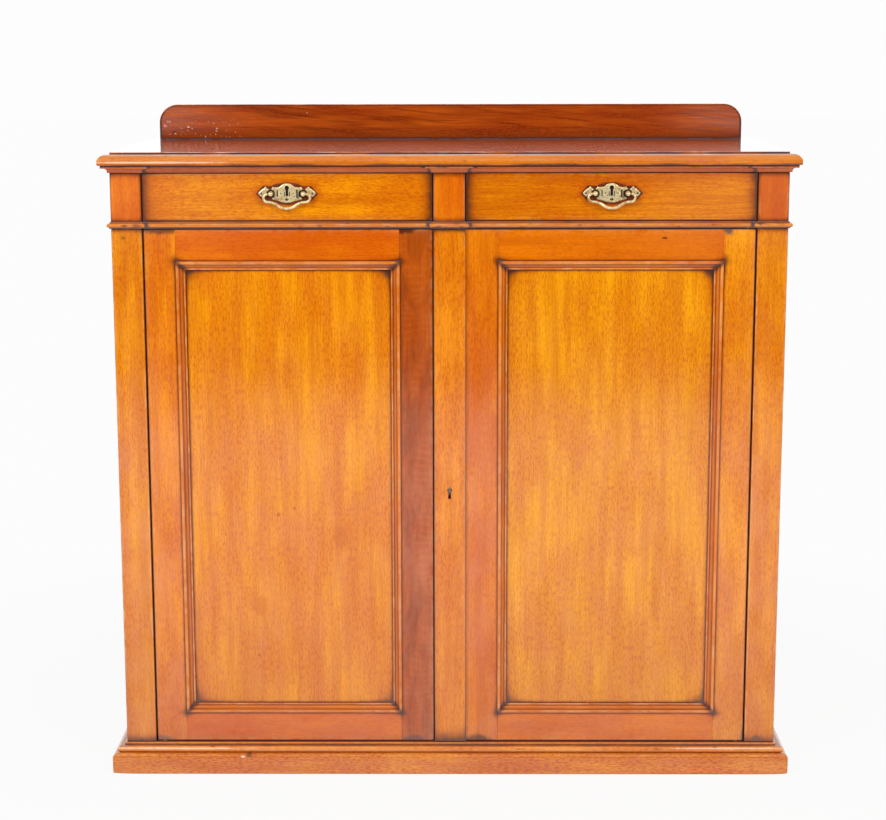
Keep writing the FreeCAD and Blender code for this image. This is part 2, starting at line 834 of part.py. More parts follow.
def handle_posts(centre):
    """Ball-headed posts through plate and front, their nuts inside, and the two plate pins."""
    pieces = []
    for x in post_places(centre):
        ball = Vector(x, ball_y, handle_axis)
        seat = Vector(x, plate_face - post_seat_height, handle_axis)
        end = Vector(x, front_back + nut_thickness + shank_past_nut, handle_axis)
        post = Part.makeSphere(post_ball_radius, ball)
        post = post.fuse(rod(ball, seat, post_neck_radius)).fuse(rod(seat, end, post_shank_radius))
        bore = post_ball_radius * ACROSS
        post = post.cut(rod(ball - bore, ball + bore, bail_stub_radius + pivot_hole_clearance))
        pieces.append(post)
        corners = [(nut_across_flats / math.sqrt(3) * math.cos(math.radians(60 * turn)),
                    nut_across_flats / math.sqrt(3) * math.sin(math.radians(60 * turn))) for turn in range(6)]
        nut = outline_face(corners, lambda u, v: Vector(x + u, front_back, handle_axis + v))
        nut = nut.extrude(BACKWARD * nut_thickness)
        pieces.append(nut.cut(rod(seat, end, post_shank_radius)))
    for x in plate_pin_places(centre):
        start = Vector(x, plate_face - plate_pin_head, plate_pin_height())
        end = Vector(x, plate_face + plate_pin_length, plate_pin_height())
        pieces.append(rod(start, end, plate_pin_radius))
    return pieces


def bail(centre):
    """Swan-neck bail: stubs in the ball heads, a loop outside each post, then two curves to the grip."""
    shoulder = post_spacing / 2 + bail_stub_length
    loop = bail_end_radius
    loop_foot = -2 * loop
    rise = bail_drop - 2 * loop
    slope = 2 * math.atan2(rise, shoulder)
    both = shoulder / math.sin(slope)
    neck = both - bail_grip_radius
    bend = (bail_grip_radius * math.sin(slope), -bail_drop + bail_grip_radius * (1 - math.cos(slope)))
    grip_way = (bail_grip_radius * math.sin(slope / 2), -bail_drop + bail_grip_radius * (1 - math.cos(slope / 2)))
    neck_way = (shoulder - neck * math.sin(slope / 2), loop_foot - neck * (1 - math.cos(slope / 2)))
    place = lambda x, z: Vector(centre + x, ball_y, handle_axis + z)
    edges = []
    for side in (-1, 1):
        stretch = [((shoulder, 0), (shoulder + loop, -loop), (shoulder, loop_foot)),
                   ((shoulder, loop_foot), neck_way, bend), (bend, grip_way, (0, -bail_drop))]
        arcs = [Part.Arc(*[place(side * x, z) for x, z in points]).toShape() for points in stretch]
        edges += arcs if side < 0 else arcs[::-1]
    path = Part.Wire(edges)
    start = place(-shoulder, 0)
    ring = Part.Wire(Part.makeCircle(bail_radius, start, ACROSS))
    grip = path.makePipeShell([ring], True, True)
    for side in (-1, 1):
        tip = Vector(centre + side * post_spacing / 2, ball_y, handle_axis)
        grip = grip.fuse(rod(tip, place(side * shoulder, 0), bail_stub_radius))
    return grip


# ---- Doors ----
def pivot_x(side):
    return side * (hinge_edge - pivot_from_edge)


def pivot_plate(side, zs):
    """Flat plate of a pivot, its long way across the door."""
    start = hinge_edge - pivot_plate_from_edge
    ys = (recess + pivot_plate_from_face, recess + pivot_plate_from_face + pivot_plate_width)
    return block((side * start, side * (start - pivot_plate_length)), ys, zs)


def pivot_pin(side, z_from, z_to, radius):
    return rod(Vector(pivot_x(side), pivot_y, z_from), Vector(pivot_x(side), pivot_y, z_to), radius)


def carcase_pivots(side):
    """Plates in drawer rail and bottom board with the pins the door turns on; the lower pin has a collar."""
    head = pivot_plate(side, (door_head, door_head + pivot_plate_thickness))
    head = head.fuse(pivot_pin(side, door_head, door_head - pivot_pin_length, pivot_pin_radius))
    foot = pivot_plate(side, (deck - pivot_plate_thickness, deck))
    foot = foot.fuse(pivot_pin(side, deck, deck + pivot_pin_length, pivot_pin_radius))
    collar = deck + door_end_gap - pivot_collar_clearance
    return [head, foot.fuse(pivot_pin(side, deck, collar, pivot_collar_radius))]


def door_pivots(side):
    """Plates in the top and bottom edges of a door, bored for the pins."""
    plates = []
    top = (door_high - pivot_plate_thickness, door_high)
    for low, high in (top, (door_low, door_low + pivot_plate_thickness)):
        plate = pivot_plate(side, (low, high))
        plates.append(plate.cut(pivot_pin(side, low, high, pivot_pin_radius + pivot_hole_clearance)))
    return plates


def pivot_cuts(side):
    """Room in the hinge stile for the pivot plates and the ends of the pins."""
    cuts = []
    for edge, away in ((door_high, -1), (door_low, 1)):
        cuts.append(pivot_plate(side, (edge, edge + away * pivot_plate_thickness)))
        cuts.append(pivot_pin(side, edge, edge + away * pivot_hole_depth, pivot_pin_radius + pivot_wood_clearance))
    return cuts


class Door:
    """Where the members of one door meet. side is -1 for the left door and 1 for the right one."""

    def __init__(self, side, meeting_edge, meeting_width):
        self.side = side
        self.hinge = side * hinge_edge
        self.meeting = meeting_edge
        self.opening = (self.hinge - side * hinge_stile_width, meeting_edge + side * meeting_width)
        self.sight = (door_low + bottom_rail_height, door_high - top_rail_height)
        self.panel_depths = (recess + panel_setback, recess + panel_setback + panel_thickness)

    def grown(self, by):
        """The frame's opening with every side moved outwards."""
        low, high = sorted(self.opening)
        return (low - by, high + by), (self.sight[0] - by, self.sight[1] + by)

    def groove(self):
        xs, zs = self.grown(panel_groove)
        return block(xs, self.panel_depths, zs)

    def panel(self):
        xs, zs = self.grown(panel_groove - panel_clearance)
        return block(xs, self.panel_depths, zs)

    def tenon_heights(self):
        """Heights of the tenons of the bottom and the top rail."""
        foot = (door_low + tenon_haunch, self.sight[0] - panel_groove)
        head = (self.sight[1] + panel_groove, door_high - tenon_haunch)
        return foot, head

    def tenons(self, extra):
        low, high = sorted(self.opening)
        xs = (low - tenon_length - extra, high + tenon_length + extra)
        return [block(xs, self.panel_depths, zs) for zs in self.tenon_heights()]

    def rails(self):
        depth = (recess, door_back)
        spans = ((door_low, self.sight[0]), (self.sight[1], door_high))
        rails = []
        for zs, tenon in zip(spans, self.tenons(0)):
            rail = block(self.opening, depth, zs).cut(self.groove())
            rails.append(rail.fuse(tenon).removeSplitter())
        return rails

    def stiles(self, hinge_cuts, meeting_cuts):
        """Hinge stile and meeting stile with groove, mortises and what is let into each."""
        depth = (recess, door_back)
        made = []
        hinge_stile = (self.hinge, self.opening[0])
        for xs, cuts in ((hinge_stile, hinge_cuts), ((self.opening[1], self.meeting), meeting_cuts)):
            stile = eased(block(xs, depth, (door_low, door_high)), arris, upright_on(recess))
            for cut in [self.groove()] + self.tenons(tenon_end_clearance) + cuts:
                stile = stile.cut(cut)
            made.append(stile)
        return made

    def moulding(self):
        """Bolection moulding in four mitred lengths round the panel."""
        (low, high), (foot, head) = self.grown(moulding_lap)
        across = (high - low, ACROSS)
        upright = (head - foot, UP)
        sides = [(Vector(low, recess, foot), across, UP), (Vector(low, recess, head), across, -UP)]
        sides += [(Vector(low, recess, foot), upright, ACROSS), (Vector(high, recess, foot), upright, -ACROSS)]
        lengths = []
        for start, (length, along), inward in sides:
            lengths.append(mitred_run(moulding_profile(), start, along, length, inward, -BACKWARD, (-1, -1)))
        return lengths


def moulding_profile():
    """Bead beside the frame's edge, hollow down to a small bead on the panel; p inwards, h forwards."""
    floor = -panel_setback
    edge = moulding_bead_edge
    bead = [(0, edge), ((moulding_bead_width / 2, moulding_bead_height), (moulding_bead_width, edge))]
    quirk = (moulding_bead_width + moulding_quirk_width, -moulding_quirk_depth)
    cove_end = moulding_width - moulding_inner_bead
    foot = (cove_end, floor + moulding_inner_edge)
    middle = ((quirk[0] + foot[0]) / 2, (quirk[1] + foot[1]) / 2)
    slant = math.dist(quirk, foot)
    cove_way = (middle[0] - moulding_cove_sag * (quirk[1] - foot[1]) / slant,
                middle[1] - moulding_cove_sag * (foot[0] - quirk[0]) / slant)
    inner_way = (cove_end + moulding_inner_bead / 2, floor + moulding_inner_height)
    behind = [(moulding_width, floor), (moulding_lap, floor), (moulding_lap, 0)]
    return [(0, 0)] + bead + [(moulding_bead_width, quirk[1]), quirk, (cove_way, foot),
            (inner_way, (moulding_width, foot[1]))] + behind


def centre_pilaster():
    """Pilaster planted on the right door's meeting stile, pierced for the key."""
    right = right_meeting_edge + centre_pilaster_width
    post = block((right_meeting_edge, right), (face, recess), (door_low, door_high))
    post = eased(post, arris, upright_on(face))
    return post.cut(door_keyhole((face, recess)))


def door_keyhole(ys):
    return keyhole(0, door_key_height, ys, door_key_circle_radius, door_key_slot_width, door_key_slot_drop)


def door_lock_case():
    xs = (right_meeting_edge, right_meeting_edge + door_lock_width)
    zs = (door_key_height - door_lock_below_key, door_key_height + door_lock_above_key)
    return block(xs, (door_back - door_lock_thickness, door_back), zs)


def door_bolt_block(clearance, tip, length):
    """The lock bolt, or with a clearance the way it slides in; tip is its left end."""
    start = door_back - door_lock_thickness + door_bolt_inset
    ys = (start - clearance, start + door_bolt_thickness + clearance)
    middle = door_key_height - door_key_slot_drop / 2
    half = door_bolt_height / 2 + clearance
    return block((tip, tip + length), ys, (middle - half, middle + half))


def door_lock():
    way = door_bolt_block(lock_clearance, right_meeting_edge, door_bolt_length + 2 * lock_clearance)
    start = door_back - door_lock_thickness
    return door_lock_case().cut(way).cut(door_keyhole((start, start + door_bolt_inset)))


def door_lock_bolt():
    return door_bolt_block(0, right_meeting_edge + lock_clearance, door_bolt_length)


def strike_plate():
    """Plate in the edge of the left door with a slot for the lock bolt."""
    way = strike_way()
    box = way.BoundBox
    zs = (box.ZMin - strike_margin, box.ZMax + strike_margin)
    ys = (box.YMin - strike_edge, box.YMax + strike_edge)
    return block((left_meeting_edge - strike_thickness, left_meeting_edge), ys, zs)


def strike_way():
    """Room for the shot bolt in strike and stile."""
    depth = door_bolt_throw + 2 * lock_clearance
    return door_bolt_block(2 * lock_clearance, left_meeting_edge - depth, depth)


def flush_bolt_line(z):
    return Vector(left_meeting_edge - flush_bolt_from_edge, recess + flush_bolt_from_face, z)


def flush_bolt_ends():
    """Door edge and inward direction of the top and the bottom flush bolt."""
    return ((door_high, -1), (door_low, 1))


def flush_bolt(edge, away):
    """Round bolt with a knob that stands out behind the door."""
    tip = flush_bolt_line(edge + away * flush_bolt_recess)
    bolt = rod(tip, tip + UP * away * flush_bolt_length, flush_bolt_radius)
    stem = tip + UP * away * flush_knob_from_end
    outside = Vector(stem.x, door_back + flush_clearance, stem.z)
    knob = rod(outside, outside + BACKWARD * flush_knob_length, flush_knob_radius)
    return bolt.fuse(rod(stem, outside, flush_knob_stem_radius)).fuse(knob)


def flush_plate(edge, away):
    x = flush_bolt_line(0).x
    start = edge + away * flush_plate_from_end
    half = flush_plate_width / 2
    return block((x - half, x + half), (door_back - flush_plate_thickness, door_back),
                 (start, start + away * flush_plate_length))


def knob_slot(edge, away):
    """Slot through stile and plate that the knob travels in."""
    half = flush_knob_stem_radius + flush_clearance
    x = flush_bolt_line(0).x
    near = edge + away * (flush_bolt_recess + flush_knob_from_end - flush_bolt_throw) - away * half
    far = edge + away * (flush_bolt_recess + flush_knob_from_end) + away * half
    return block((x - half, x + half), (recess + flush_bolt_from_face, door_back), (near, far))


def flush_cuts():
    """Room in the left door's meeting stile for both flush bolts and their plates."""
    cuts = []
    for edge, away in flush_bolt_ends():
        end = flush_bolt_line(edge + away * (flush_bolt_recess + flush_bolt_length + flush_clearance))
        cuts.append(rod(flush_bolt_line(edge), end, flush_bolt_radius + pivot_hole_clearance))
        cuts += [flush_plate(edge, away), knob_slot(edge, away)]
    return cuts


def keeper_plate(z, away):
    centre = flush_bolt_line(z)
    return block((centre.x - keeper_length / 2, centre.x + keeper_length / 2),
                 (centre.y - keeper_width / 2, centre.y + keeper_width / 2), (z, z + away * keeper_thickness))


def keeper_hole(z, away):
    radius = flush_bolt_radius + flush_clearance
    return rod(flush_bolt_line(z), flush_bolt_line(z + away * keeper_hole_depth), radius)


def keeper_cuts(z, away):
    return [keeper_plate(z, away), keeper_hole(z, away)]


def keepers():
    return [keeper_plate(z, away).cut(keeper_hole(z, away)) for z, away in ((door_head, 1), (deck, -1))]


def left_door_plates():
    """Pivot plates, flush-bolt plates and lock strike of the left door."""
    plates = door_pivots(-1)
    for edge, away in flush_bolt_ends():
        plates.append(flush_plate(edge, away).cut(knob_slot(edge, away)))
    return plates + [strike_plate().cut(strike_way())]


# ---- Cupboard inside ----
def shelf():
    half = side_inside - shelf_side_gap
    depth = (door_back + shelf_front_gap, back_inside)
    board = block((-half, half), depth, (shelf_height, shelf_height + shelf_thickness))
    return eased(board, arris, lies_on(min(depth)))


def shelf_bearers():
    depth = (door_back + shelf_front_gap + bearer_inset, back_inside - bearer_inset)
    zs = (shelf_height - bearer_section, shelf_height)
    return [block((side * side_inside, side * (side_inside - bearer_section)), depth, zs) for side in (-1, 1)]


def stops():
    """Stop strips behind the heads and feet of the doors, and stop blocks behind the drawer fronts."""
    start = door_back + door_stop_clearance
    depth = (start, start + door_stop_section)
    width = (door_stop_end - hinge_edge, hinge_edge - door_stop_end)
    pieces = [block(width, depth, (door_head - door_stop_section, door_head))]
    pieces.append(block(width, depth, (deck, deck + bottom_stop_height)))
    start = front_back + runner_clearance
    for centre in drawer_centres():
        for x in (centre - drawer_stop_spacing / 2, centre + drawer_stop_spacing / 2):
            xs = (x - drawer_stop_length / 2, x + drawer_stop_length / 2)
            pieces.append(block(xs, (start, start + drawer_stop_depth), (frieze_foot, frieze_foot + drawer_stop_height)))
    return pieces


# ---- All nodes ----
def carcase_nodes():
    plinth = moulding_round(plinth_profile(), round_the_body(), 0)
    inner = half_body - plinth_bearing
    return {
        "top_board": [top_board()],
        "bed_mould": moulding_round(bed_profile(), round_the_breaks(), frieze_head),
        "backboard": [backboard()],
        "backboard_dowels": dowels(0),
        "left_side": [side_board(-1)],
        "right_side": [side_board(1)],
        "left_pilaster": [outer_pilaster(-1)],
        "right_pilaster": [outer_pilaster(1)],
        "frieze_blocks": frieze_blocks(),
        "top_rail": [top_rail()],
        "drawer_kickers": drawer_kickers(),
        "drawer_rail": [drawer_rail()],
        "rail_astragal": moulding_round(astragal_profile(), round_the_breaks(), door_head),
        "drawer_runners": drawer_runners(),
        "dust_boards": dust_boards(),
        "drawer_guides": drawer_guides(),
        "stops": stops(),
        "bottom_board": [bottom_board()],
        "plinth_front": [plinth[1]],
        "plinth_sides": [plinth[0], plinth[2]],
        "plinth_back": [block((-inner, inner), (back - plinth_back_thickness, back), (0, plinth_height))],
        "plinth_moulding": moulding_round(torus_profile(), round_the_body(), plinth_height),
        "plinth_glue_blocks": plinth_glue_blocks(),
        "back_boards": back_boards(),
        "shelf": [shelf()],
        "shelf_bearers": shelf_bearers(),
        "carcase_door_plates": carcase_pivots(-1) + carcase_pivots(1) + keepers(),
    }


def drawer_nodes(name, centre):
    return {
        name + "_drawer_front": [drawer_front(centre)],
        name + "_drawer_sides": drawer_sides(centre),
        name + "_drawer_back": [drawer_back(centre)],
        name + "_drawer_bottom": [drawer_bottom(centre)],
        name + "_drawer_lock": [drawer_lock(centre)],
        name + "_drawer_lock_bolt": [drawer_lock_bolt(centre)],
        name + "_handle_plate": [handle_plate(centre)],
        name + "_handle_posts": handle_posts(centre),
        name + "_bail": [bail(centre)],
    }


def door_nodes():
    left = Door(-1, left_meeting_edge, left_meeting_stile_width)
    right = Door(1, right_meeting_edge, right_meeting_stile_width)
    lock_cuts = [door_lock_case(), door_keyhole((recess, door_back))]
    top_bolt, bottom_bolt = [flush_bolt(edge, away) for edge, away in flush_bolt_ends()]
    strike_cuts = [strike_plate(), strike_way()]
    return {
        "left_door_stiles": left.stiles(pivot_cuts(-1), flush_cuts() + strike_cuts),
        "left_door_rails": left.rails(),
        "left_door_panel": [left.panel()],
        "left_door_moulding": left.moulding(),
        "left_door_plates": left_door_plates(),
        "left_door_top_bolt": [top_bolt],
        "left_door_bottom_bolt": [bottom_bolt],
        "right_door_stiles": right.stiles(pivot_cuts(1), lock_cuts),
        "right_door_rails": right.rails(),
        "right_door_panel": [right.panel()],
        "right_door_moulding": right.moulding(),
        "right_door_pivots": door_pivots(1),
        "centre_pilaster": [centre_pilaster()],
        "door_lock": [door_lock()],
        "door_lock_bolt": [door_lock_bolt()],
    }


def main():
    nodes = carcase_nodes()
    for name, centre in zip(("left", "right"), drawer_centres()):
        nodes.update(drawer_nodes(name, centre))
    nodes.update(door_nodes())
    os.makedirs("parts", exist_ok=True)
    for name, pieces in nodes.items():
        shape = pieces[0] if len(pieces) == 1 else Part.makeCompound(pieces)
        shape.exportStep("parts/" + name + ".step")


main()
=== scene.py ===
"""Victorian chiffonier in French-polished mahogany with cast brass swing handles.

Metres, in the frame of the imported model: +X to the right, -Y to the front, +Z up, floor at 0. Profiles, the
spread of grime and the sizes of marks are in millimetres. Every new piece is a surface worked out on a grid,
most often a section carried along a length.
"""

import math

import bpy
import numpy as np
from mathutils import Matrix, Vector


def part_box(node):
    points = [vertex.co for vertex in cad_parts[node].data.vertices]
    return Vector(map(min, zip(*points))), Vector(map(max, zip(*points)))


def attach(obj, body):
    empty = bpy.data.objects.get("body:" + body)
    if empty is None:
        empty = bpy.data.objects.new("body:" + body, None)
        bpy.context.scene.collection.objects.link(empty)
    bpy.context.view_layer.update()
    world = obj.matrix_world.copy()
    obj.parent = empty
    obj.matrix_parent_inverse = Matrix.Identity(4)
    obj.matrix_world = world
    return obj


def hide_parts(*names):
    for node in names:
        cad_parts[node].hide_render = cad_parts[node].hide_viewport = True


bl_info = {
    "name": "Mahogany chiffonier",
    "version": (1, 0, 0),
    "blender": (4, 5, 0),
    "location": "3D View > Sidebar > Chiffonier",
    "description": "Builds the looks of a mahogany chiffonier round its construction model",
    "category": "Object",
}

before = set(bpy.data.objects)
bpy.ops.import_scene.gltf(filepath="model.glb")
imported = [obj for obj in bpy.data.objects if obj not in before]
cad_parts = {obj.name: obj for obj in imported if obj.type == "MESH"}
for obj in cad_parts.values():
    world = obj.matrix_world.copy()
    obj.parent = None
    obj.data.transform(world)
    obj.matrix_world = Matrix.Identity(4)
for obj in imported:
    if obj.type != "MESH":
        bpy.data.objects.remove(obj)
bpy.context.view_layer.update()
MM = 0.001
ACROSS, BACKWARD, UP = np.eye(3)
SIDES = ("left", "right")
POLISHED = "mahogany_polished_"
DRAWER_GAP = 1.5 * MM  # between a drawer and the blocks beside it
PANEL_MOULDING = 15.2 * MM  # width over the door's panel
POST_SPACING = 53.0  # between the two posts of a handle, in millimetres
KEYHOLE_HEIGHT = 0.4445  # above the foot of the centre pilaster
CORNER_RADIUS = 33 * MM  # of the backboard's upper corners
LAMP_AIM = (0, -0.2, 0.5)  # on the middle of the doors
LENS, SENSOR = 81.18, 36.0
CAMERA_PLACE = (0.0154, -3.4709, 1.2298)
CAMERA_TURN = (math.pi / 2 - 0.1828, 0.0018, 0.0077)
# Mark colours: SOOT_AND_SHADE is soot with painted shade in corners and under overhangs, DUST_AND_SHADE is
# dust with painted shade at tops and feet, RUBBED_AND_HIGHLIGHT is rubbed wear with painted highlights.
SOOT_AND_SHADE, DUST_AND_SHADE, RUBBED_AND_HIGHLIGHT, WHITE = "#3A1C14", "#4A4048", "#FFE6CC", "#FFFFFF"


def box(name):
    """Lowest and highest corner of a construction node."""
    return np.array(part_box(name))


def linear(code):
    """Linear colour with full alpha for an sRGB hex value."""
    parts = [int(code[at:at + 2], 16) / 255 for at in (1, 3, 5)]
    return [part / 12.92 if part <= 0.04045 else ((part + 0.055) / 1.055) ** 2.4 for part in parts] + [1.0]


# ---- Surfaces on grids ----
def fade(distance, reach):
    """exp(-distance / reach)."""
    return np.exp(-distance / reach)


def bell(distance, width, power=2):
    """exp(-(distance / width)^power)."""
    return np.exp(-(distance / width) ** power)


def even_noise(places, period, seed):
    """Smooth seeded noise from -1 to 1: random values at every period, joined by cosines."""
    values = np.random.default_rng(seed).uniform(-1, 1, 4096)
    steps = np.asarray(places) / period + 1000
    whole = np.floor(steps).astype(int)
    blend = (1 - np.cos(np.pi * (steps - whole))) / 2
    return values[whole % 4096] * (1 - blend) + values[(whole + 1) % 4096] * blend


def spaced(length, step, ends=()):
    """Places from 0 to length at about the step, and extra ones at the given distances from both ends."""
    count = max(2, int(round(length / step)) + 1)
    extra = np.array([place for place in ends if place < length / 2])
    return np.unique(np.round(np.concatenate((np.linspace(0, length, count), extra, length - extra)), 7))


def lengths_along(path):
    """Length from the first point of a path to each of its points."""
    return np.concatenate(([0], np.cumsum(np.linalg.norm(np.diff(path, axis=0), axis=1))))


def seamed(rings):
    """The grid with its first column once more after the last."""
    return np.concatenate((rings, rings[:, :1]), 1)


def part(points, maps, grime_and_shade, wear_and_highlight=0.0):
    """One closed surface: points[i, j] over a grid whose columns wrap round and whose first and last row are
    closed by flat faces. maps has one column more, so that the pattern runs on over the seam."""
    spread = points.shape[:2]
    # The grime channel holds grime together with painted shade, and the wear channel holds wear together with
    # painted highlights.
    return {"points": points, "maps": maps, "grime_and_shade": np.broadcast_to(grime_and_shade, spread),
            "wear_and_highlight": np.broadcast_to(wear_and_highlight, spread)}


def cells(rows, cols):
    """Row and column numbers of the four corners of every cell of a grid."""
    i, j = [index.ravel() for index in np.meshgrid(np.arange(rows - 1), np.arange(cols), indexing="ij")]
    return np.stack((i, i + 1, i + 1, i), 1), np.stack((j, j, j + 1, j + 1), 1)


def grid_faces(piece):
    """Faces of a grid as vertex numbers and as map places, turned so that the enclosed volume is positive."""
    rows, cols = piece["points"].shape[:2]
    at_i, at_j = cells(rows, cols)
    ring, foot = np.arange(cols), np.zeros(cols, int)
    places = [np.stack((at_i, at_j), 2), np.stack((foot, ring), 1)[None],
              np.stack((foot + rows - 1, ring[::-1]), 1)[None]]
    lists = [place[..., 0] * cols + place[..., 1] % cols for place in places]
    flat, volume = piece["points"].reshape(-1, 3), 0.0
    for faces in lists:
        corners = flat[faces]
        volume += np.sum(np.cross(corners, np.roll(corners, -1, 1)) * corners[:, :1])
    if volume < 0:
        lists, places = [[block[:, ::-1] for block in blocks] for blocks in (lists, places)]
    return lists, places


def build(name, pieces, finish, body, replaced, crease=35.0):
    """Makes one object of closed surfaces with its map, its grime with painted shade, its wear with painted
    highlights and its finish, and sets it on its body.
    """
    vertices, faces, loops = [], [], []
    base = 0
    for piece in pieces:
        for block, place in zip(*grid_faces(piece)):
            faces += (block + base).tolist()
            loops.append(piece["maps"][place[..., 0], place[..., 1]].reshape(-1, 2))
        vertices.append(piece["points"].reshape(-1, 3))
        base += len(vertices[-1])
    mesh = bpy.data.meshes.new(name)
    mesh.from_pydata(np.concatenate(vertices).tolist(), [], faces)
    mesh.uv_layers.new(name="grain").data.foreach_set("uv", np.concatenate(loops).astype(np.float32).ravel())
    for trait in ("grime_and_shade", "wear_and_highlight"):
        values = np.concatenate([np.ravel(piece[trait]) for piece in pieces]).astype(np.float32)
        mesh.attributes.new(trait, "FLOAT", "POINT").data.foreach_set("value", values)
    mesh.materials.append(bpy.data.materials[finish])
    mesh.shade_smooth()
    mesh.set_sharp_from_angle(angle=math.radians(crease))
    made = bpy.data.objects.new(name, mesh)
    bpy.context.scene.collection.objects.link(made)
    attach(made, body)
    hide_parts(*replaced)


def post(low, high, radius, seed, reach, step=6 * MM):
    """Upright post: a rectangle with unevenly rounded corners is carried up, and draws in by r (1 - sin a) at
    r (1 - cos a) from each end, so the end arrises are round too. reach gives how far the darkening, grime
    with painted shade, spreads on the front from the left, right, lower and upper edge; it stops 1.5 mm
    behind the front."""
    size, middle = high - low, (low + high) / 2
    turn = np.linspace(0, np.pi / 2, 4)
    places = spaced(size[2], step, (*radius * (1 - np.cos(turn)), 3 * MM, 8 * MM, 15 * MM))
    depth_in = np.clip(np.minimum(places, size[2] - places) / radius, 0, 1)
    inset = radius * (1 - np.sqrt(1 - (1 - depth_in) ** 2))
    angles = np.concatenate([turn + quarter * np.pi / 2 for quarter in range(4)])
    directions = np.stack((np.cos(angles), np.sin(angles)), 1)
    signs = np.repeat([(1, 1), (-1, 1), (-1, -1), (1, -1)], 4, axis=0)
    uneven = np.stack([even_noise(places, 23 * MM, seed * 7 + corner) * 0.5
                       + even_noise(places, 7 * MM, seed * 7 + corner + 50) * 0.3
                       for corner in np.repeat(np.arange(4), 4)], 1)
    rounds = np.clip(radius * (1 + 0.55 * uneven) - inset[:, None], 0.15 * radius, None)
    ring = (size[:2] / 2 - inset[:, None])[:, None] * signs + rounds[..., None] * (directions - signs)
    # Five points on every face between its corners; the seam lies in the middle of the back.
    corners = ring.reshape(-1, 4, 4, 2)
    here, there = corners[:, :, 3:], np.roll(corners[:, :, :1], -1, 1)
    share = (1 - np.cos(np.pi * np.linspace(0, 1, 7)[1:-1])) / 2
    ring = np.concatenate((corners, here + (there - here) * share[:, None]), 2).reshape(-1, 36, 2)
    ring = np.roll(ring, -6, 1)
    worn = np.roll(np.tile((0.5, 1, 1, 0.5, 0, 0, 0, 0, 0), 4), -6)
    worn = worn * (0.7 + 0.5 * even_noise(places, 37 * MM, seed + 5))[:, None]
    points = np.dstack((middle[:2] + ring, np.broadcast_to((low[2] + places)[:, None], ring.shape[:2])))
    run = np.cumsum(np.linalg.norm(np.diff(seamed(ring), axis=1), axis=2).mean(0))
    shift = np.random.default_rng(seed).uniform(0, 40, 2)
    around = np.concatenate(([0], run)) + shift[1]
    maps = np.stack(np.broadcast_arrays(places[:, None] + shift[0], around), 2)
    x, y, z = np.moveaxis(points, 2, 0)
    spans = (x - low[0], high[0] - x, z - low[2], high[2] - z)
    # Darkening near the edges of the front: grime with painted shade.
    grime_and_shade = sum(fade(span, width * MM) for span, width in zip(spans, reach)) * (y - low[1] < 1.5 * MM)
    return part(points, maps, grime_and_shade, worn)


# ---- Mouldings ----
def arc_points(start, way, end, count):
    """Points of the circular arc from start through way to end, without start: the circle's centre is where
    the upright bisectors of the two chords meet, and the angle grows evenly."""
    (ax, ay), (bx, by), (cx, cy) = start, way, end
    turn = 2 * (ax * (by - cy) + bx * (cy - ay) + cx * (ay - by))
    a2, b2, c2 = ax * ax + ay * ay, bx * bx + by * by, cx * cx + cy * cy
    centre = np.array((a2 * (by - cy) + b2 * (cy - ay) + c2 * (ay - by),
                       a2 * (cx - bx) + b2 * (ax - cx) + c2 * (bx - ax))) / turn
    angles = [math.atan2(y - centre[1], x - centre[0]) for x, y in (start, way, end)]
    there, back = [(angle - angles[0]) % math.tau for angle in angles[1:]]
    sweep = back if there < back else back - math.tau
    at = angles[0] + sweep * np.arange(1, count + 1) / count
    return centre + math.dist(start, centre) * np.stack((np.cos(at), np.sin(at)), 1)


def trace(steps, count=8):
    """Points of a line of corners and of (way, end) arcs."""
    points = [steps[0]]
    for step in steps[1:]:
        points += arc_points(points[-1], *step, count).tolist() if isinstance(step[0], tuple) else [step]
    return np.array(points, float)


def outline(steps, count=8, longest=1.2):
    """Closed profile from corners and arcs: sharp corners are cut back a little twice, then every side longer
    than the given length is divided evenly."""
    points = trace(steps, count)
    for cut in (0.35, 0.35 / 3):
        before, after = [np.roll(points, by, 0) - points for by in (1, -1)]
        near, far = [np.linalg.norm(side, axis=1, keepdims=True) for side in (before, after)]
        sharp = np.sum(before / near * after / far, 1) > -0.85
        pairs = np.stack([points + side / size * np.minimum(cut, size * 0.3)
                          for side, size in ((before, near), (after, far))], 1)
        points = np.concatenate([pair if cuts else point[None]
                                 for pair, point, cuts in zip(pairs, points, sharp)])
    sides = np.roll(points, -1, 0) - points
    counts = np.maximum(1, np.ceil(np.linalg.norm(sides, axis=1) / longest)).astype(int)
    return np.concatenate([points[n] + sides[n] * (np.arange(count) / count)[:, None]
                           for n, count in enumerate(counts)])


def traits(profile, lines, pale, least=0.4, catch=1.0):
    """Grime with painted shade, and wear with painted highlights, on a profile. The dark part, grime with
    painted shade in the creases, gathers where the profile turns inwards sharply, times catch, and at the
    heights of lines, which are mostly painted shadow lines in quirks and under overhangs, and fades as
    exp(-d / 0.8 mm); the pale part, wear with painted highlights, is where it turns outwards sharply and at
    the pale heights, which are mostly painted highlights on crests and rounded edges, and fades as
    exp(-d / 0.5 mm). Heights count only where the profile is beyond least."""
    before, after = profile - np.roll(profile, 1, 0), np.roll(profile, -1, 0) - profile
    turn = before[:, 0] * after[:, 1] - before[:, 1] * after[:, 0]
    ahead = np.roll(profile, -1, 0)
    area = np.sum(profile[:, 0] * ahead[:, 1] - profile[:, 1] * ahead[:, 0])
    bend = np.arctan2(turn, np.sum(before * after, 1)) * np.sign(area)
    distance = np.linalg.norm(profile[:, None] - profile[None], axis=2)
    found = []
    for sharp, width, heights in ((catch * np.clip(-bend - 0.2, 0, None), 0.8, lines),
                                 (np.clip(bend - 0.25, 0, None), 0.5, pale)):
        total = (fade(distance, width) * sharp).sum(1)
        for height, weight in heights:
            total = total + weight * fade(np.abs(profile[:, 1] - height), width) * (profile[:, 0] > least)
        found.append(total)
    return np.clip(found[0], 0, 1.6), np.clip(found[1], 0, 1.0)


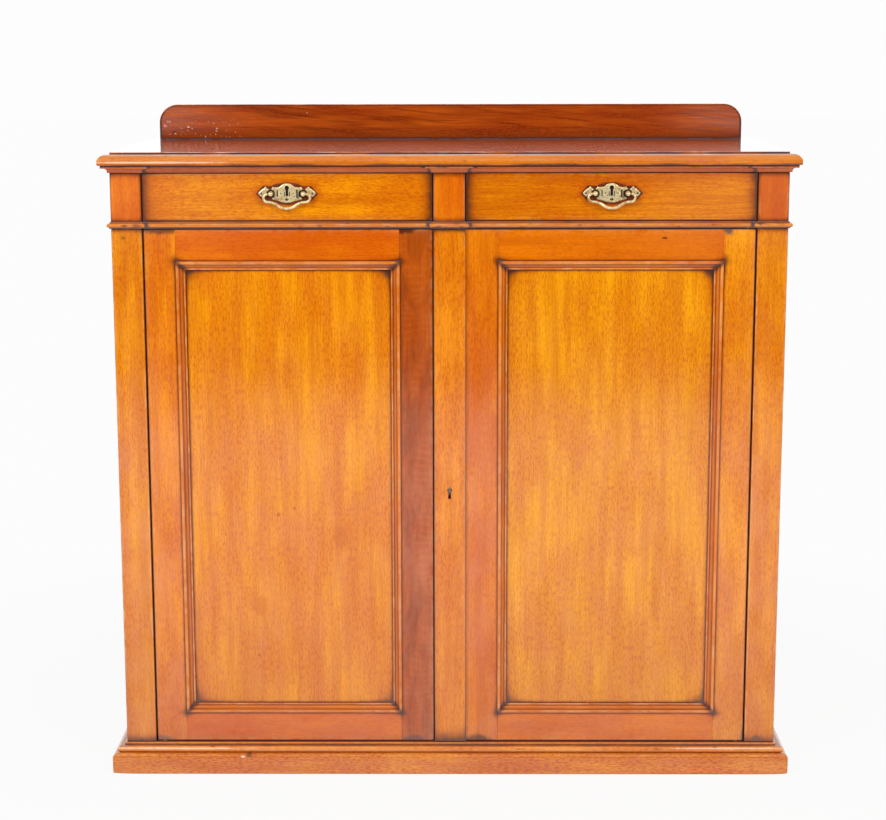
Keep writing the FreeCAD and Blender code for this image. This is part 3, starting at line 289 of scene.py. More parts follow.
def moulding(profile, marks_on, start, along, length, out, up, mitres, seed, step=5 * MM, dents=(0, 0.0),
             knocked=0.0, soot_and_shade=(2.2, 5.0)):
    """Length of moulding: the profile, p outwards and h upwards, is carried from start. A mitred end moves
    each point by its own p along the run, so the end lies in the mitre plane. Dents, a number and a depth in
    millimetres, are small bell-shaped hollows pressed in against the out direction. knocked is the radius
    r (1 - sqrt(1 - (1 - h / r)^2)) to which the foot of an outside corner has worn; soot is how dark and how
    long, in millimetres, the darkening of an inside corner is, soot together with painted shade."""
    grime_and_shade, wear_and_highlight = marks_on
    rng = np.random.default_rng(seed)
    p, h = profile.T * MM
    t = spaced(length, step, (1 * MM, 2 * MM, 3.5 * MM, 5 * MM, 7 * MM, 10 * MM)) / length
    first, last = mitres
    run = t[:, None] * (length + (first + last) * p) - first * p
    from_ends = (run - run[:1], run[-1:] - run)
    push = 0.08 * MM * (even_noise(t * length, 31 * MM, seed)[:, None] - 1) * np.ones(len(p))
    arc = lengths_along(profile) * MM
    marks = np.zeros_like(run)
    widest = np.where(p > 0.6 * p.max())[0]
    for _ in range(dents[0]):
        centre, spot = rng.uniform(0.02, 0.98) * length, arc[rng.choice(widest)]
        wide, tall, deep = rng.uniform(2, 6) * MM, rng.uniform(1.0, 2.2) * MM, rng.uniform(0.4, 1.0)
        marks += deep * bell(run - centre, wide) * bell(arc - spot, tall)
    push = push - dents[1] * MM * np.clip(marks, 0, 1.2)
    if knocked:
        bare = np.clip(1 - h / (knocked * MM), 0, 1)
        near = sum(fade(side, 14 * MM) for mitre, side in zip(mitres, from_ends) if mitre > 0)
        push = push - knocked * MM * near * (1 - np.sqrt(1 - bare ** 2))
    reach = p + push * np.clip(p / max(p.max(), MM), 0, 1)
    shifted = t[:, None] * (length + last * reach[-1]) - (1 - t[:, None]) * first * reach[0]
    points = start + along * shifted[..., None] + out * reach[..., None] + up * (h + 0 * run)[..., None]
    dirt_and_shade = grime_and_shade * (0.9 + 0.2 * even_noise(t * length, 40 * MM, seed + 9)[:, None]) + marks * 0.7
    # Inside corners darken with soot and painted shade.
    for mitre, side in zip(mitres, from_ends):
        if mitre < 0:
            dirt_and_shade = dirt_and_shade + soot_and_shade[0] * bell(side, soot_and_shade[1] * MM) * (0.7 + 0.3 * np.clip(grime_and_shade, 0, 1))
    # The pale part is wear with painted highlights.
    rubbed = wear_and_highlight * (0.65 + 0.5 * even_noise(t * length, 27 * MM, seed + 13)[:, None])
    shift = rng.uniform(0, 40, 2)
    around = np.concatenate((arc, [arc[-1] + np.linalg.norm(profile[0] - profile[-1]) * MM]))
    maps = np.stack(np.broadcast_arrays(seamed(run) + shift[0], around + shift[1]), 2)
    return part(points, maps, dirt_and_shade, rubbed)


def round_the_plan(profile, marks_on, corners, foot, seed, **settings):
    """Mitred lengths of a moulding along a plan path, standing out to the right of the path."""
    corners = [np.array((x, y, foot)) for x, y in corners]
    steps = [end - start for start, end in zip(corners, corners[1:])]
    lengths = [np.linalg.norm(step) for step in steps]
    headings = [step / length for step, length in zip(steps, lengths)]
    turns = [0] + [round(np.cross(a, b)[2]) for a, b in zip(headings, headings[1:])] + [0]
    return [moulding(profile, marks_on, corners[n], headings[n], lengths[n], np.cross(headings[n], UP), UP,
                     (turns[n], turns[n + 1]), seed + n, **settings) for n in range(len(steps))]


def block_edges():
    """Outer and inner edge of the outer blocks, and edge of the middle one, as distances from the middle."""
    inner = DRAWER_GAP - box("left_drawer_front")[0][0]
    return box("frieze_blocks")[1][0], inner, -box("centre_pilaster")[0][0]


def body_corners():
    """Plan of the carcase, once straight round and once breaking forward over the pilasters."""
    half, inner, middle = block_edges()
    front, recess, back = box("frieze_blocks")[0][1], box("left_drawer_front")[0][1], box("left_side")[1][1]
    breaks = [(-inner, front), (-inner, recess), (-middle, recess), (-middle, front)]
    plans = [[(-half, back), (-half, front)] + more for more in ([], breaks)]
    return [plan + [(-x, y) for x, y in plan[::-1]] for plan in plans]


# Profiles in millimetres: p outwards, h up from the foot; a pair is an arc through one to the other.
TOP = [(-30, 0), (15.5, 0), ((16.91, 0.59), (17.5, 2)), (17.5, 8.1), ((12.52, 14.68), (0.5, 17.4)),
       (-1, 17.4), (-1, 20.8), (-30, 20.8)]
BED = [(0, 0), (3.3, 0), (3.3, 1.3), ((5.12, 5.68), (9.5, 7.5)), (13, 7.5), (13, 12.2), (0, 12.2)]
ASTRAGAL = [(0, 0), (2.5, 0), (2.5, 1.9), (2.9, 1.9), ((6.3, 5.3), (2.9, 8.7)), (2.5, 8.7), (0.7, 11.5),
            (0, 11.5)]
TORUS = [(0, 0), (9, 0), ((14.5, 5.5), (9, 11)), (3.2, 11), (3.2, 14.8), (0, 14.8)]
PLINTH = [(-8, 0), (20.5, 0), ((21.56, 0.44), (22, 1.5)), (22, 28.5), ((19.95, 33.45), (15, 35.5)),
          (-8, 35.5)]
# Panel moulding: p from its outer edge towards the panel, h forward of the door's face.
BOLECTION = [(0, 0), (0, 0.5), ((3, 3.0), (6, 0.5)), (6, -0.8), (7, -0.8), ((7.89, -5.39), (12, -7.6)),
             ((13.6, -5.6), (15.2, -7.6)), (15.2, -9), (1, -9), (1, 0)]
# Upper and lower edge of the right half of the handle's plate, from the handle's axis.
PLATE = ([(0, 17.0), ((5.2, 16.2), (9.5, 13.6)), ((13.2, 11.2), (17.4, 10.6)), ((20.8, 10.6), (23.8, 12.2)),
          ((26.8, 7.4), (31.4, 8.2)), (35.4, 12.2), ((36.6, 10.2), (38.4, 8.6)), ((43.2, 5.4), (47.0, 0.6))],
         [(0, -14.8), ((6.8, -14.2), (12.5, -12.0)), ((17.6, -10.8), (23.4, -9.4)), (24.6, -5.2),
          ((28.4, -5.6), (33.6, -3.2)), ((37.4, -3.0), (41.0, -5.4)), ((44.6, -2.6), (47.0, 0.6))])


# ---- Materials ----
# Each kind of node: its type, the sockets its values go to, the socket it gives (None: all), fixed settings.
KINDS = {
    "place": ("TexCoord", (), None, {}),
    "axes": ("SeparateXYZ", (0,), None, {}),
    "vector": ("CombineXYZ", (0, 1, 2), 0, {}),
    "move": ("VectorMath", (0, 1), 0, {"operation": "ADD"}),
    "stretch": ("VectorMath", (0, 1), 0, {"operation": "MULTIPLY"}),
    "noise": ("TexNoise", ("Vector", "Scale", "Detail", "Roughness", "Distortion"), 0, {}),
    "trait": ("Attribute", (), "Fac", {}),
    "map": ("UVMap", (), 0, {"uv_map": "grain"}),
    "times": ("Math", (0, 1), 0, {"operation": "MULTIPLY"}),
    "scale": ("Math", (0, 1, 2), 0, {"operation": "MULTIPLY_ADD"}),
    "between": ("MapRange", (0, 1, 2, 3, 4), 0, {"interpolation_type": "SMOOTHSTEP"}),
    "evenly": ("MapRange", (0, 1, 2, 3, 4), 0, {}),
    "mix": ("Mix", (0, 6, 7), 2, {"data_type": "RGBA"}),
    "blend": ("Mix", (0, 2, 3), 0, {}),
    "bump": ("Bump", ("Height", "Strength", "Distance"), 0, {}),
    "polish": ("BsdfPrincipled", ("Base Color", "Roughness", "Normal"), 0, {}),
    "matt": ("BsdfDiffuse", ("Color",), 0, {}),
    "glow": ("Emission", ("Color", "Strength"), 0, {}),
    "either": ("MixShader", (0, 1, 2), 0, {}),
    "ray": ("LightPath", (), None, {}),
    "air": ("Background", ("Color", "Strength"), 0, {}),
    "material": ("OutputMaterial", (0,), None, {}),
    "world": ("OutputWorld", (0,), None, {}),
}


def node(tree, kind, *values, sockets=(), **settings):
    """Adds a node: one of KINDS, or else the calculation of that name. values go to its sockets in order and
    sockets by name, hex values as colours and other nodes' sockets as links; settings are its properties."""
    what, order, given, fixed = KINDS.get(kind, ("Math", (0, 1, 2), 0, {"operation": kind}))
    made = tree.nodes.new("ShaderNode" + what)
    for name, value in {**fixed, **settings}.items():
        setattr(made, name, value)
    for key, value in [*zip(order, values), *dict(sockets).items()]:
        if isinstance(value, bpy.types.NodeSocket):
            tree.links.new(value, made.inputs[key])
        else:
            made.inputs[key].default_value = linear(value) if isinstance(value, str) else value
    return made.outputs if given is None else made.outputs[given]


class Recipe:
    """A material's node tree; called with a kind of node and its values, it adds that node."""

    def __init__(self, name):
        material = bpy.data.materials.new(name)
        material.use_nodes = True
        self.tree = material.node_tree
        self.tree.nodes.clear()
        self.solid = self("place")["Object"]
        self.axes = self.x, self.y, self.z = list(self("axes", self.solid))

    def __call__(self, kind, *values, **settings):
        return node(self.tree, kind, *values, **settings)

    def pattern(self, place, scale, *detail):
        """Noise that repeats about scale times a metre; the last scale serves the axes that are left."""
        stretched = self("stretch", place, (*scale, scale[-1], scale[-1])[:3])
        return self("noise", stretched, 1.0, *(detail or (2.0,)))

    def tint(self, colour, code, value, low, high, most):
        """The colour turned to that of the code by up to most, as the value goes from low to high."""
        return self("mix", self("between", value, low, high, 0.0, most), colour, code)

    def root(self, one, two):
        """Square root of the sum of both squares."""
        return self("SQRT", self("scale", one, one, self("times", two, two)))

    def spot(self, x, z, half_x, half_z, ragged):
        """1 inside a soft round patch of the front, 0 outside it; noise makes its edge ragged."""
        away = self.root(*[self("scale", place, 1 / half / MM, -middle / half / MM)
                           for place, middle, half in ((self.x, x, half_x), (self.z, z, half_z))])
        return self("between", self("ADD", away, self("scale", ragged, 1.2, -0.6)), 1.2, 0.5)

    def finish(self, colour, rough, bump, **constants):
        """Closes the material; bump is a height, a strength and a distance."""
        names = {name.replace("_", " "): value for name, value in constants.items()}
        self("material", self("polish", colour, rough, self("bump", *bump), sockets=names))


def worked(add):
    """Grain, grime with painted shade, and wear with painted highlights, of a new piece: its own map and what
    its vertices hold.
    """
    return add("map"), *[add("trait", attribute_name=trait) for trait in ("grime_and_shade", "wear_and_highlight")]


def edge_fades(add, spans, reach):
    """Sum over the edges (place, edge, side) of f + f^(1/4) / 5, where f is exp(-distance / reach)."""
    total = 0.0
    for (place, edge, side), width in zip(spans, np.array(reach) * MM):
        if width:
            near = add("EXPONENT", add("scale", place, -side / width, side * edge / width))
            total = add("ADD", total, add("scale", add("POWER", near, 0.25), 0.2, near))
    return total


def solid_member(order, low, high, reach, rub=0.0, shift=(0.0, 0.0, 0.0), skin=3 * MM):
    """Grain, grime and wear of a construction node, from its solid coordinates. order puts the grain's axis
    first; reach is how far the darkening, grime with painted shade, spreads from the left, right, lower and
    upper edge of the front, rub how wide the edges are rubbed pale; both stop the depth of the skin behind
    the front, unless that is 0."""
    def member(add):
        grain = add("move", add("vector", *[add.axes[axis] for axis in order]), shift)
        spans = ((add.x, low[0], 1), (add.x, high[0], -1), (add.z, low[2], 1), (add.z, high[2], -1))
        marks = [edge_fades(add, spans, reach), edge_fades(add, spans, (rub,) * 4)]
        if skin:
            in_front = add("between", add.y, low[1] + skin, low[1] + 0.3 * MM)
            marks = [add("times", mark, in_front) for mark in marks]
        return grain, *marks
    return member


def door_member(order, outer, inner, reach, shift):
    """Grain, grime and wear of a door's frame or panel: a darkening, grime with painted shade, spreads from
    the door's outer edges inwards and from the panel moulding, whose outer edge is the inner box, both ways
    and most in its corners. reach says how far each of the three goes, and how strong the last is."""
    def member(add):
        grain, total, wear_and_highlight = solid_member(order, *outer, (reach[0],) * 4, 1.1, shift)(add)
        spans = []
        for place, low, high in ((add.x, inner[0][0], inner[1][0]), (add.z, inner[0][2], inner[1][2])):
            off = add("ABSOLUTE", add("scale", place, 1.0, -(low + high) / 2))
            spans.append(add("scale", off, 1.0, -(high - low) / 2))
        away = add("ABSOLUTE", add("MAXIMUM", *spans))
        corner = add("ADD", *[add("ABSOLUTE", span) for span in spans])
        near, in_corner = [add("EXPONENT", add("times", span, -1 / (width * MM)))
                           for span, width in ((away, reach[1]), (corner, reach[2]))]
        return grain, add("ADD", add("ADD", total, near), add("times", in_corner, reach[3])), wear_and_highlight
    return member


def polished_mahogany(name, colours, member=worked, pores=0.5, cloud=0.55, streak=0.55, dirt_and_shade=0.85, level=0.02,
                      ripple=0.08, haze=0.12, soil_and_shade="#2E180E", pale="#F2BE84", other=None, figure=None,
                      marks=()):
    """Mahogany, filled, stained and French polished by hand: a warm colour that drifts between golden and red
    brown, long soft streaks, short dark pores 0.3 mm wide and 3 to 8 mm long (drawn about 1 mm wide, so that
    they show), a clear shellac gloss over it that has bloomed mauve in patches, with a painted reflection
    haze that makes the bloom grow low down, dark wax and painted shade in every corner and crease and along
    painted shadow lines, blue grey where it is thickest, and arrises rubbed pale with painted highlights on
    crests. colours are light, dark and red; other gives those beyond a place on an axis, (colours, axis,
    place); pores, cloud, streak, dirt and haze say how strong the pores, the red, the streaks, the wax with
    its painted shade and the bloom are, and ripple how much the pores show in the gloss; figure adds its own
    lines; marks are ragged spots (x, z, half width, half height, colour, weight)."""
    add = Recipe(POLISHED + name)
    grain, grime_and_shade, wear_and_highlight = member(add)
    tones = colours.split()
    if other:
        beyond = add("GREATER_THAN", add.axes[other[1]], other[2])
        tones = [add("mix", beyond, *pair) for pair in zip(tones, other[0].split())]
    light, dark, red = tones
    # The grain wanders by 4 mm: its lines are shifted across by slow noise.
    shift = add("scale", add.pattern(grain, (2.3, 9.0), 1.0), 0.008, -0.004)
    line = add("move", grain, add("vector", 0.0, shift))
    broad = add.pattern(line, (4.0, 55.0), 3.0, 0.55)
    fine = add.pattern(line, (14.0, 420.0), 2.0, 0.6)
    drift = add.pattern(grain, (6.0, 15.0), 4.0, 0.55)
    flecks = add.pattern(line, (115.0, 430.0), 2.0, 0.7)
    tone = add("scale", broad, streak, 0.5 - streak / 2)
    tone = add("ADD", tone, add("scale", fine, streak * 0.6, -streak * 0.3))
    colour = add("mix", add("between", tone, 0.34, 0.66), light, dark)
    colour = add("mix", add("times", add("between", drift, 0.40, 0.62), cloud), colour, red)
    if figure:
        colour = figure(add, line, colour)
    short = add("times", add("between", flecks, 0.47, 0.60), add("between", drift, 0.3, 0.6, 0.5, 1.0))
    colour = add("mix", add("times", short, pores), colour, "#B43E08")
    # The bloom lies in patches; it is made strongest low down as a painted reflection haze.
    patches = add.pattern(add("move", grain, (3.1, 1.7, 0.9)), (13.0, 34.0), 3.0, 0.6)
    bloom = add("between", patches, 0.25, 0.75, 0.0, haze)
    colour = add("mix", add("times", bloom, add("between", add.z, 0.95, 0.42, 0.0, 1.7)), colour, "#DE8C66")
    colour = add("mix", add("between", add.z, 0.04, 0.42, 0.15, 0.0), colour, "#7A3A10")
    ragged = add.pattern(grain, (50.0, 70.0), 3.0, 0.6)
    # Arrises rubbed pale, with painted highlights on crests and rounded edges, from the wear attribute.
    rubbed = add("times", wear_and_highlight, add("between", ragged, 0.35, 0.62), use_clamp=True)
    colour = add("mix", add("times", rubbed, 0.75), colour, pale)
    # Dark wax with painted shade in corners, creases and along shadow lines, blue grey where thickest.
    gathered = add("times", grime_and_shade, add("between", ragged, 0.25, 0.75, 0.8, 1.15))
    colour = add.tint(colour, "#9A4006", gathered, 0.03, 0.55, 0.55)
    soiled_and_shaded = add("times", add("between", gathered, 0.12, 1.1), dirt_and_shade)
    colour = add("mix", soiled_and_shaded, colour, add("mix", add("between", gathered, 0.9, 1.5), soil_and_shade, "#4A4650"))
    for *place, code, weight in marks:
        colour = add("mix", add("times", add.spot(*place, ragged), weight), colour, code)
    height = add("ADD", add("times", short, -0.5), add("times", fine, 0.4))
    add.finish(colour, add("scale", soiled_and_shaded, 0.25, 0.42), (height, ripple, 0.0004), IOR=1.5,
               Specular_IOR_Level=level, Coat_Weight=1.0, Coat_Roughness=0.10, Coat_IOR=1.6)


def round_the_handle(add, side, colour):
    """Wood handled and never quite cleaned: reddish for 10 mm round the handle plate, and nearly black for
    2 mm beside its edge, where soot and the painted shadow of the plate and bail lie together. The plate is
    taken as an ellipse for its lobes together with a flat rhombus for its two wings, and distances are in
    millimetres."""
    plate, posts = box(side + "_handle_plate"), box(side + "_handle_posts")
    dx, dz = [add("ABSOLUTE", add("scale", place, 1.0, -sum(ends) / 2))
              for place, ends in ((add.x, plate[:, 0]), (add.z, posts[:, 2]))]
    half_width, half_height = 31, 15.8
    lobe = add.root(add("times", dx, 1 / (half_width * MM)), add("times", dz, 1 / (half_height * MM)))
    slant = add("ADD", add("scale", dx, 740.0, -35.3), add("times", dz, 670.0))
    wing = add("MAXIMUM", slant, add("scale", dz, 1000.0, -10.5))
    away = add("MINIMUM", add("scale", lobe, half_height, -half_height), wing)
    away = add("ADD", away, add("scale", add.pattern(add.solid, (90.0,)), 2.4, -1.2))
    # Reddish handling dirt within 10 mm, then a near-black ring of soot and painted shadow beside the plate.
    return add.tint(add.tint(colour, "#A84408", away, 13.0, 1.0, 0.55), "#331A1C", away, 3.4, 1.4, 0.85)


def mottled(add, line, colour):
    """Plum-mottle figure: soft dark patches 10 to 30 mm long that lean across the grain."""
    patches = add.pattern(line, (38.0, 70.0), 3.0, 0.6, 0.8)
    return round_the_handle(add, "left", add.tint(colour, "#C05A04", patches, 0.45, 0.72, 0.45))


def cathedral(add, line, colour):
    """Flat-sawn figure: growth lines some 9 mm apart that run into long pointed arches."""
    low, high = box("right_drawer_front")
    across = add("scale", add.z, 1.0, -(low[2] * 0.4 + high[2] * 0.6))
    along = add("scale", add.x, 1.0, -low[0])
    bow = add("SQRT", add("ADD", add("times", across, across), add("scale", along, 0.0012, 0.00002)))
    waver = add.pattern(line, (6.0, 30.0))
    rings = add("SINE", add("ADD", add("times", bow, 1100.0), add("times", waver, 14.0)))
    return round_the_handle(add, "right", add.tint(colour, "#B85004", rings, 0.1, 1.0, 0.35))


def weathered(add, line, colour):
    """Dark grain that runs slightly downhill to the right, a pale grey-pink towards both ends that is partly
    bloom and partly painted reflection, painted shade darkening the foot, and small pale chips along it at
    the left."""
    slope = add("vector", add.x, add.y, add("ADD", add.z, add("times", add.x, 0.12)))
    streaks = add.pattern(slope, (5.0, 130.0), 3.0, 0.6)
    colour = add.tint(colour, "#521802", streaks, 0.48, 0.68, 0.6)
    # Pale grey-pink towards both ends: bloom with painted reflection.
    ends = add("between", add("ABSOLUTE", add.x), 0.36, 0.54, 0.0, 0.30)
    colour = add("mix", add("times", ends, add("between", streaks, 0.3, 0.6)), colour, "#C08C7C")
    # Painted shade: darker towards the foot, where the board stands on the top.
    colour = add.tint(colour, "#4E1A04", add.z, 1.082, 1.056, 0.6)
    near_foot, at_left = add("between", add.z, 1.100, 1.058), add("between", add.x, -0.36, -0.46)
    chips = add("between", add.pattern(add.solid, (210.0,), 1.0), 0.67, 0.70)
    return add("mix", add("times", chips, add("times", near_foot, at_left)), colour, "#F6DED6")


def clouded(add, line, colour):
    """Plum-coloured clouds with pale ripples across the grain about 11 mm apart, as in wood near a crotch."""
    clouds = add.pattern(line, (7.0, 26.0), 4.0, 0.6, 1.2)
    inside = add("GREATER_THAN", add.x, -0.2)
    waver = add.pattern(add.solid, (16.0, 1.0, 9.0))
    ripples = add("SINE", add("ADD", add("times", add.z, 560.0), add("times", waver, 22.0)))
    ripples = add("times", add("between", ripples, 0.0, 1.0, 0.0, 0.3), add("between", clouds, 0.55, 0.40))
    colour = add("mix", add("times", ripples, inside), colour, "#C8641A")
    return add("mix", add("times", add("between", clouds, 0.42, 0.66, 0.0, 0.6), inside), colour, "#74300A")


def plain_wood(name, colours, order, rings=55.0):
    """Pine or oak, planed and never polished, grey-brown with age: soft and hard growth lines about 4 mm
    apart, dull all over."""
    add = Recipe(name)
    grain = add("vector", *[add.axes[axis] for axis in order])
    lines = add.pattern(grain, (1.3, rings), 4.0, 0.5, 0.6)
    hairs = add.pattern(grain, (12.0, 500.0))
    tone = add("ADD", add("times", hairs, 0.35), add("times", lines, 0.75))
    colour = add("mix", add("between", tone, 0.35, 0.75), *colours.split())
    colour = add.tint(colour, "#4A3524", add.pattern(grain, (4.0, 7.0), 3.0), 0.45, 0.75, 0.45)
    add.finish(colour, 0.72, (hairs, 0.25, 0.0005))


def aged_metal(name, bright, dull, rough, blotch, soiled_and_shaded=None):
    """Cast brass or forged iron, handled for a century: bright where fingers rub, brown in the hollows, with
    blotches of tarnish a few millimetres wide."""
    add = Recipe(name)
    tarnish = add("between", add.pattern(add.solid, (blotch,), 4.0, 0.65), 0.38, 0.72)
    colour = add("mix", tarnish, bright, dull)
    roughness = add("scale", tarnish, 0.18, rough)
    if soiled_and_shaded:
        # Darker in the hollows from the grime attribute: patina, with painted shade round the posts and in
        # the keyhole.
        hollow = add("between", add("trait", attribute_name="grime_and_shade"), 0.08, 0.9)
        colour = add("mix", hollow, colour, soiled_and_shaded)
        roughness = add("ADD", roughness, add("times", hollow, 0.2))
    add.finish(colour, roughness, (add.pattern(add.solid, (blotch * 5,)), 0.2, 0.0002), Metallic=1.0)


# ---- Sizes and colours a user may change ----
class ChiffonierSizes(bpy.types.PropertyGroup):
    """How worn the edges are and how heavy the handles are."""

    arris: bpy.props.FloatProperty(
        name="Worn arris", description="Mean radius of the edges that hands and dusters have rounded",
        default=1.1 * MM, min=0.0002, max=0.003, subtype="DISTANCE", unit="LENGTH")
    dents: bpy.props.IntProperty(
        name="Dents", description="Knocks in each length of moulding", default=6, min=0, max=40)
    dent_depth: bpy.props.FloatProperty(
        name="Dent depth", description="How deep a knock is, in millimetres", default=0.5, min=0.0, max=1.5)
    bail_wire: bpy.props.FloatProperty(
        name="Bail wire", description="Radius of the swing handle's wire",
        default=2.3 * MM, min=0.001, max=0.0024, subtype="DISTANCE", unit="LENGTH")


def colour_setting(name, code, description):
    """Colour that a user may change; the code is its first value."""
    return bpy.props.FloatVectorProperty(name=name, description=description, subtype="COLOR",
                                         default=linear(code)[:3], min=0.0, max=1.0)


class ChiffonierColours(bpy.types.PropertyGroup):
    """Colours of brass, floor and light."""

    brass: colour_setting("Brass", "#FAE8B8", "Colour of the brass where it is rubbed bright")
    tarnish: colour_setting("Tarnish", "#B4925A", "Colour of the brass where it has dulled")
    floor: colour_setting("Floor", "#FDFDFD", "Colour of the floor")
    lamp: bpy.props.FloatProperty(
        name="Lamps", description="Strength of the two soft lamps together", default=1.0, min=0.0, max=4.0)


# ---- The pieces ----
def finish_doors(side):
    """Door frame with the grain upright in the stiles and level in the rails, the wide left stile plum
    coloured, and the panel; with soot and painted shade in their corners and the knocks of the left panel."""
    outer, inner = box(side + "_door_stiles"), box(side + "_door_moulding")
    low, high = outer[:, 2]
    far = (inner[0][0] + inner[1][0]) / 2
    reach = (0.9, 2.2, 10, 0.9)
    bare = np.array((inner[0] + PANEL_MOULDING, inner[1] - PANEL_MOULDING))
    # Upper corners of the panel inside the moulding: soot with painted shade.
    soot_and_shade = ((bare[1][0], bare[1][2], 16, 16, "#3E2C2A", 0.75),
            (bare[0][0], bare[1][2], 16, 10, "#3E2C2A", 0.65))
    if side == "left":
        stiles, beyond, figure = "#EE9000 #D26E00 #C85800", "#BC5806 #8C3C04 #963E04", clouded
        rails, panel = "#E27400 #CC5E00 #C44C00", "#F29C00 #D27600 #D46E00"
        # Tops and feet of the frame: soot and dust with painted shade under the bead and above the plinth
        # moulding.
        feet = ((-0.478, high, 32, 9, SOOT_AND_SHADE, 0.75), (-0.071, high, 20, 9, SOOT_AND_SHADE, 0.85),
                (-0.490, low, 20, 10, DUST_AND_SHADE, 0.6), (-0.060, low, 24, 9, DUST_AND_SHADE, 0.6))
        knocks = ()
        soot_and_shade += ((-0.288, 0.4456, 3, 4, "#A04A14", 0.7), (-0.2607, 0.4577, 2, 2, SOOT_AND_SHADE, 0.5),
                 (-0.1815, 0.4058, 14, 26, "#BE5A10", 0.5), (-0.322, 0.2888, 16, 20, "#C4600E", 0.5),
                 (-0.3253, 0.2005, 3, 3, "#A04A14", 0.6))
    else:
        stiles, beyond, figure = "#E68400 #CA6400 #C25000", "#F29C00 #D67C00 #CC6600", None
        rails, panel = "#E47A00 #CE6600 #C65800", "#F4A400 #D47E00 #D47600"
        # Tops and feet of the frame: soot and dust with painted shade under the bead and above the plinth
        # moulding.
        feet = ((0.456, high, 9, 12, DUST_AND_SHADE, 0.85), (0.045, low, 34, 11, SOOT_AND_SHADE, 0.75),
                (0.503, low + 8 * MM, 9, 16, DUST_AND_SHADE, 0.6))
        knocks = ((0.352, 0.9123, 5, 2, SOOT_AND_SHADE, 0.8),)
    member = door_member((2, 0, 1), outer, inner, reach, (0.0, 0.0, 0.0))
    polished_mahogany(side + "_stiles", stiles, member, other=(beyond, 0, far), figure=figure, marks=feet,
                      haze=0.2)
    member = door_member((0, 2, 1), outer, inner, reach, (1.7 * far, 0.3, 0.0))
    polished_mahogany(side + "_rails", rails, member, pores=0.4, marks=knocks)
    member = door_member((2, 0, 1), outer, bare, (0.0, 2.4, 20, 1.0), (0.0, 7.0 * far, 0.0))
    polished_mahogany(side + "_panel", panel, member, marks=soot_and_shade)


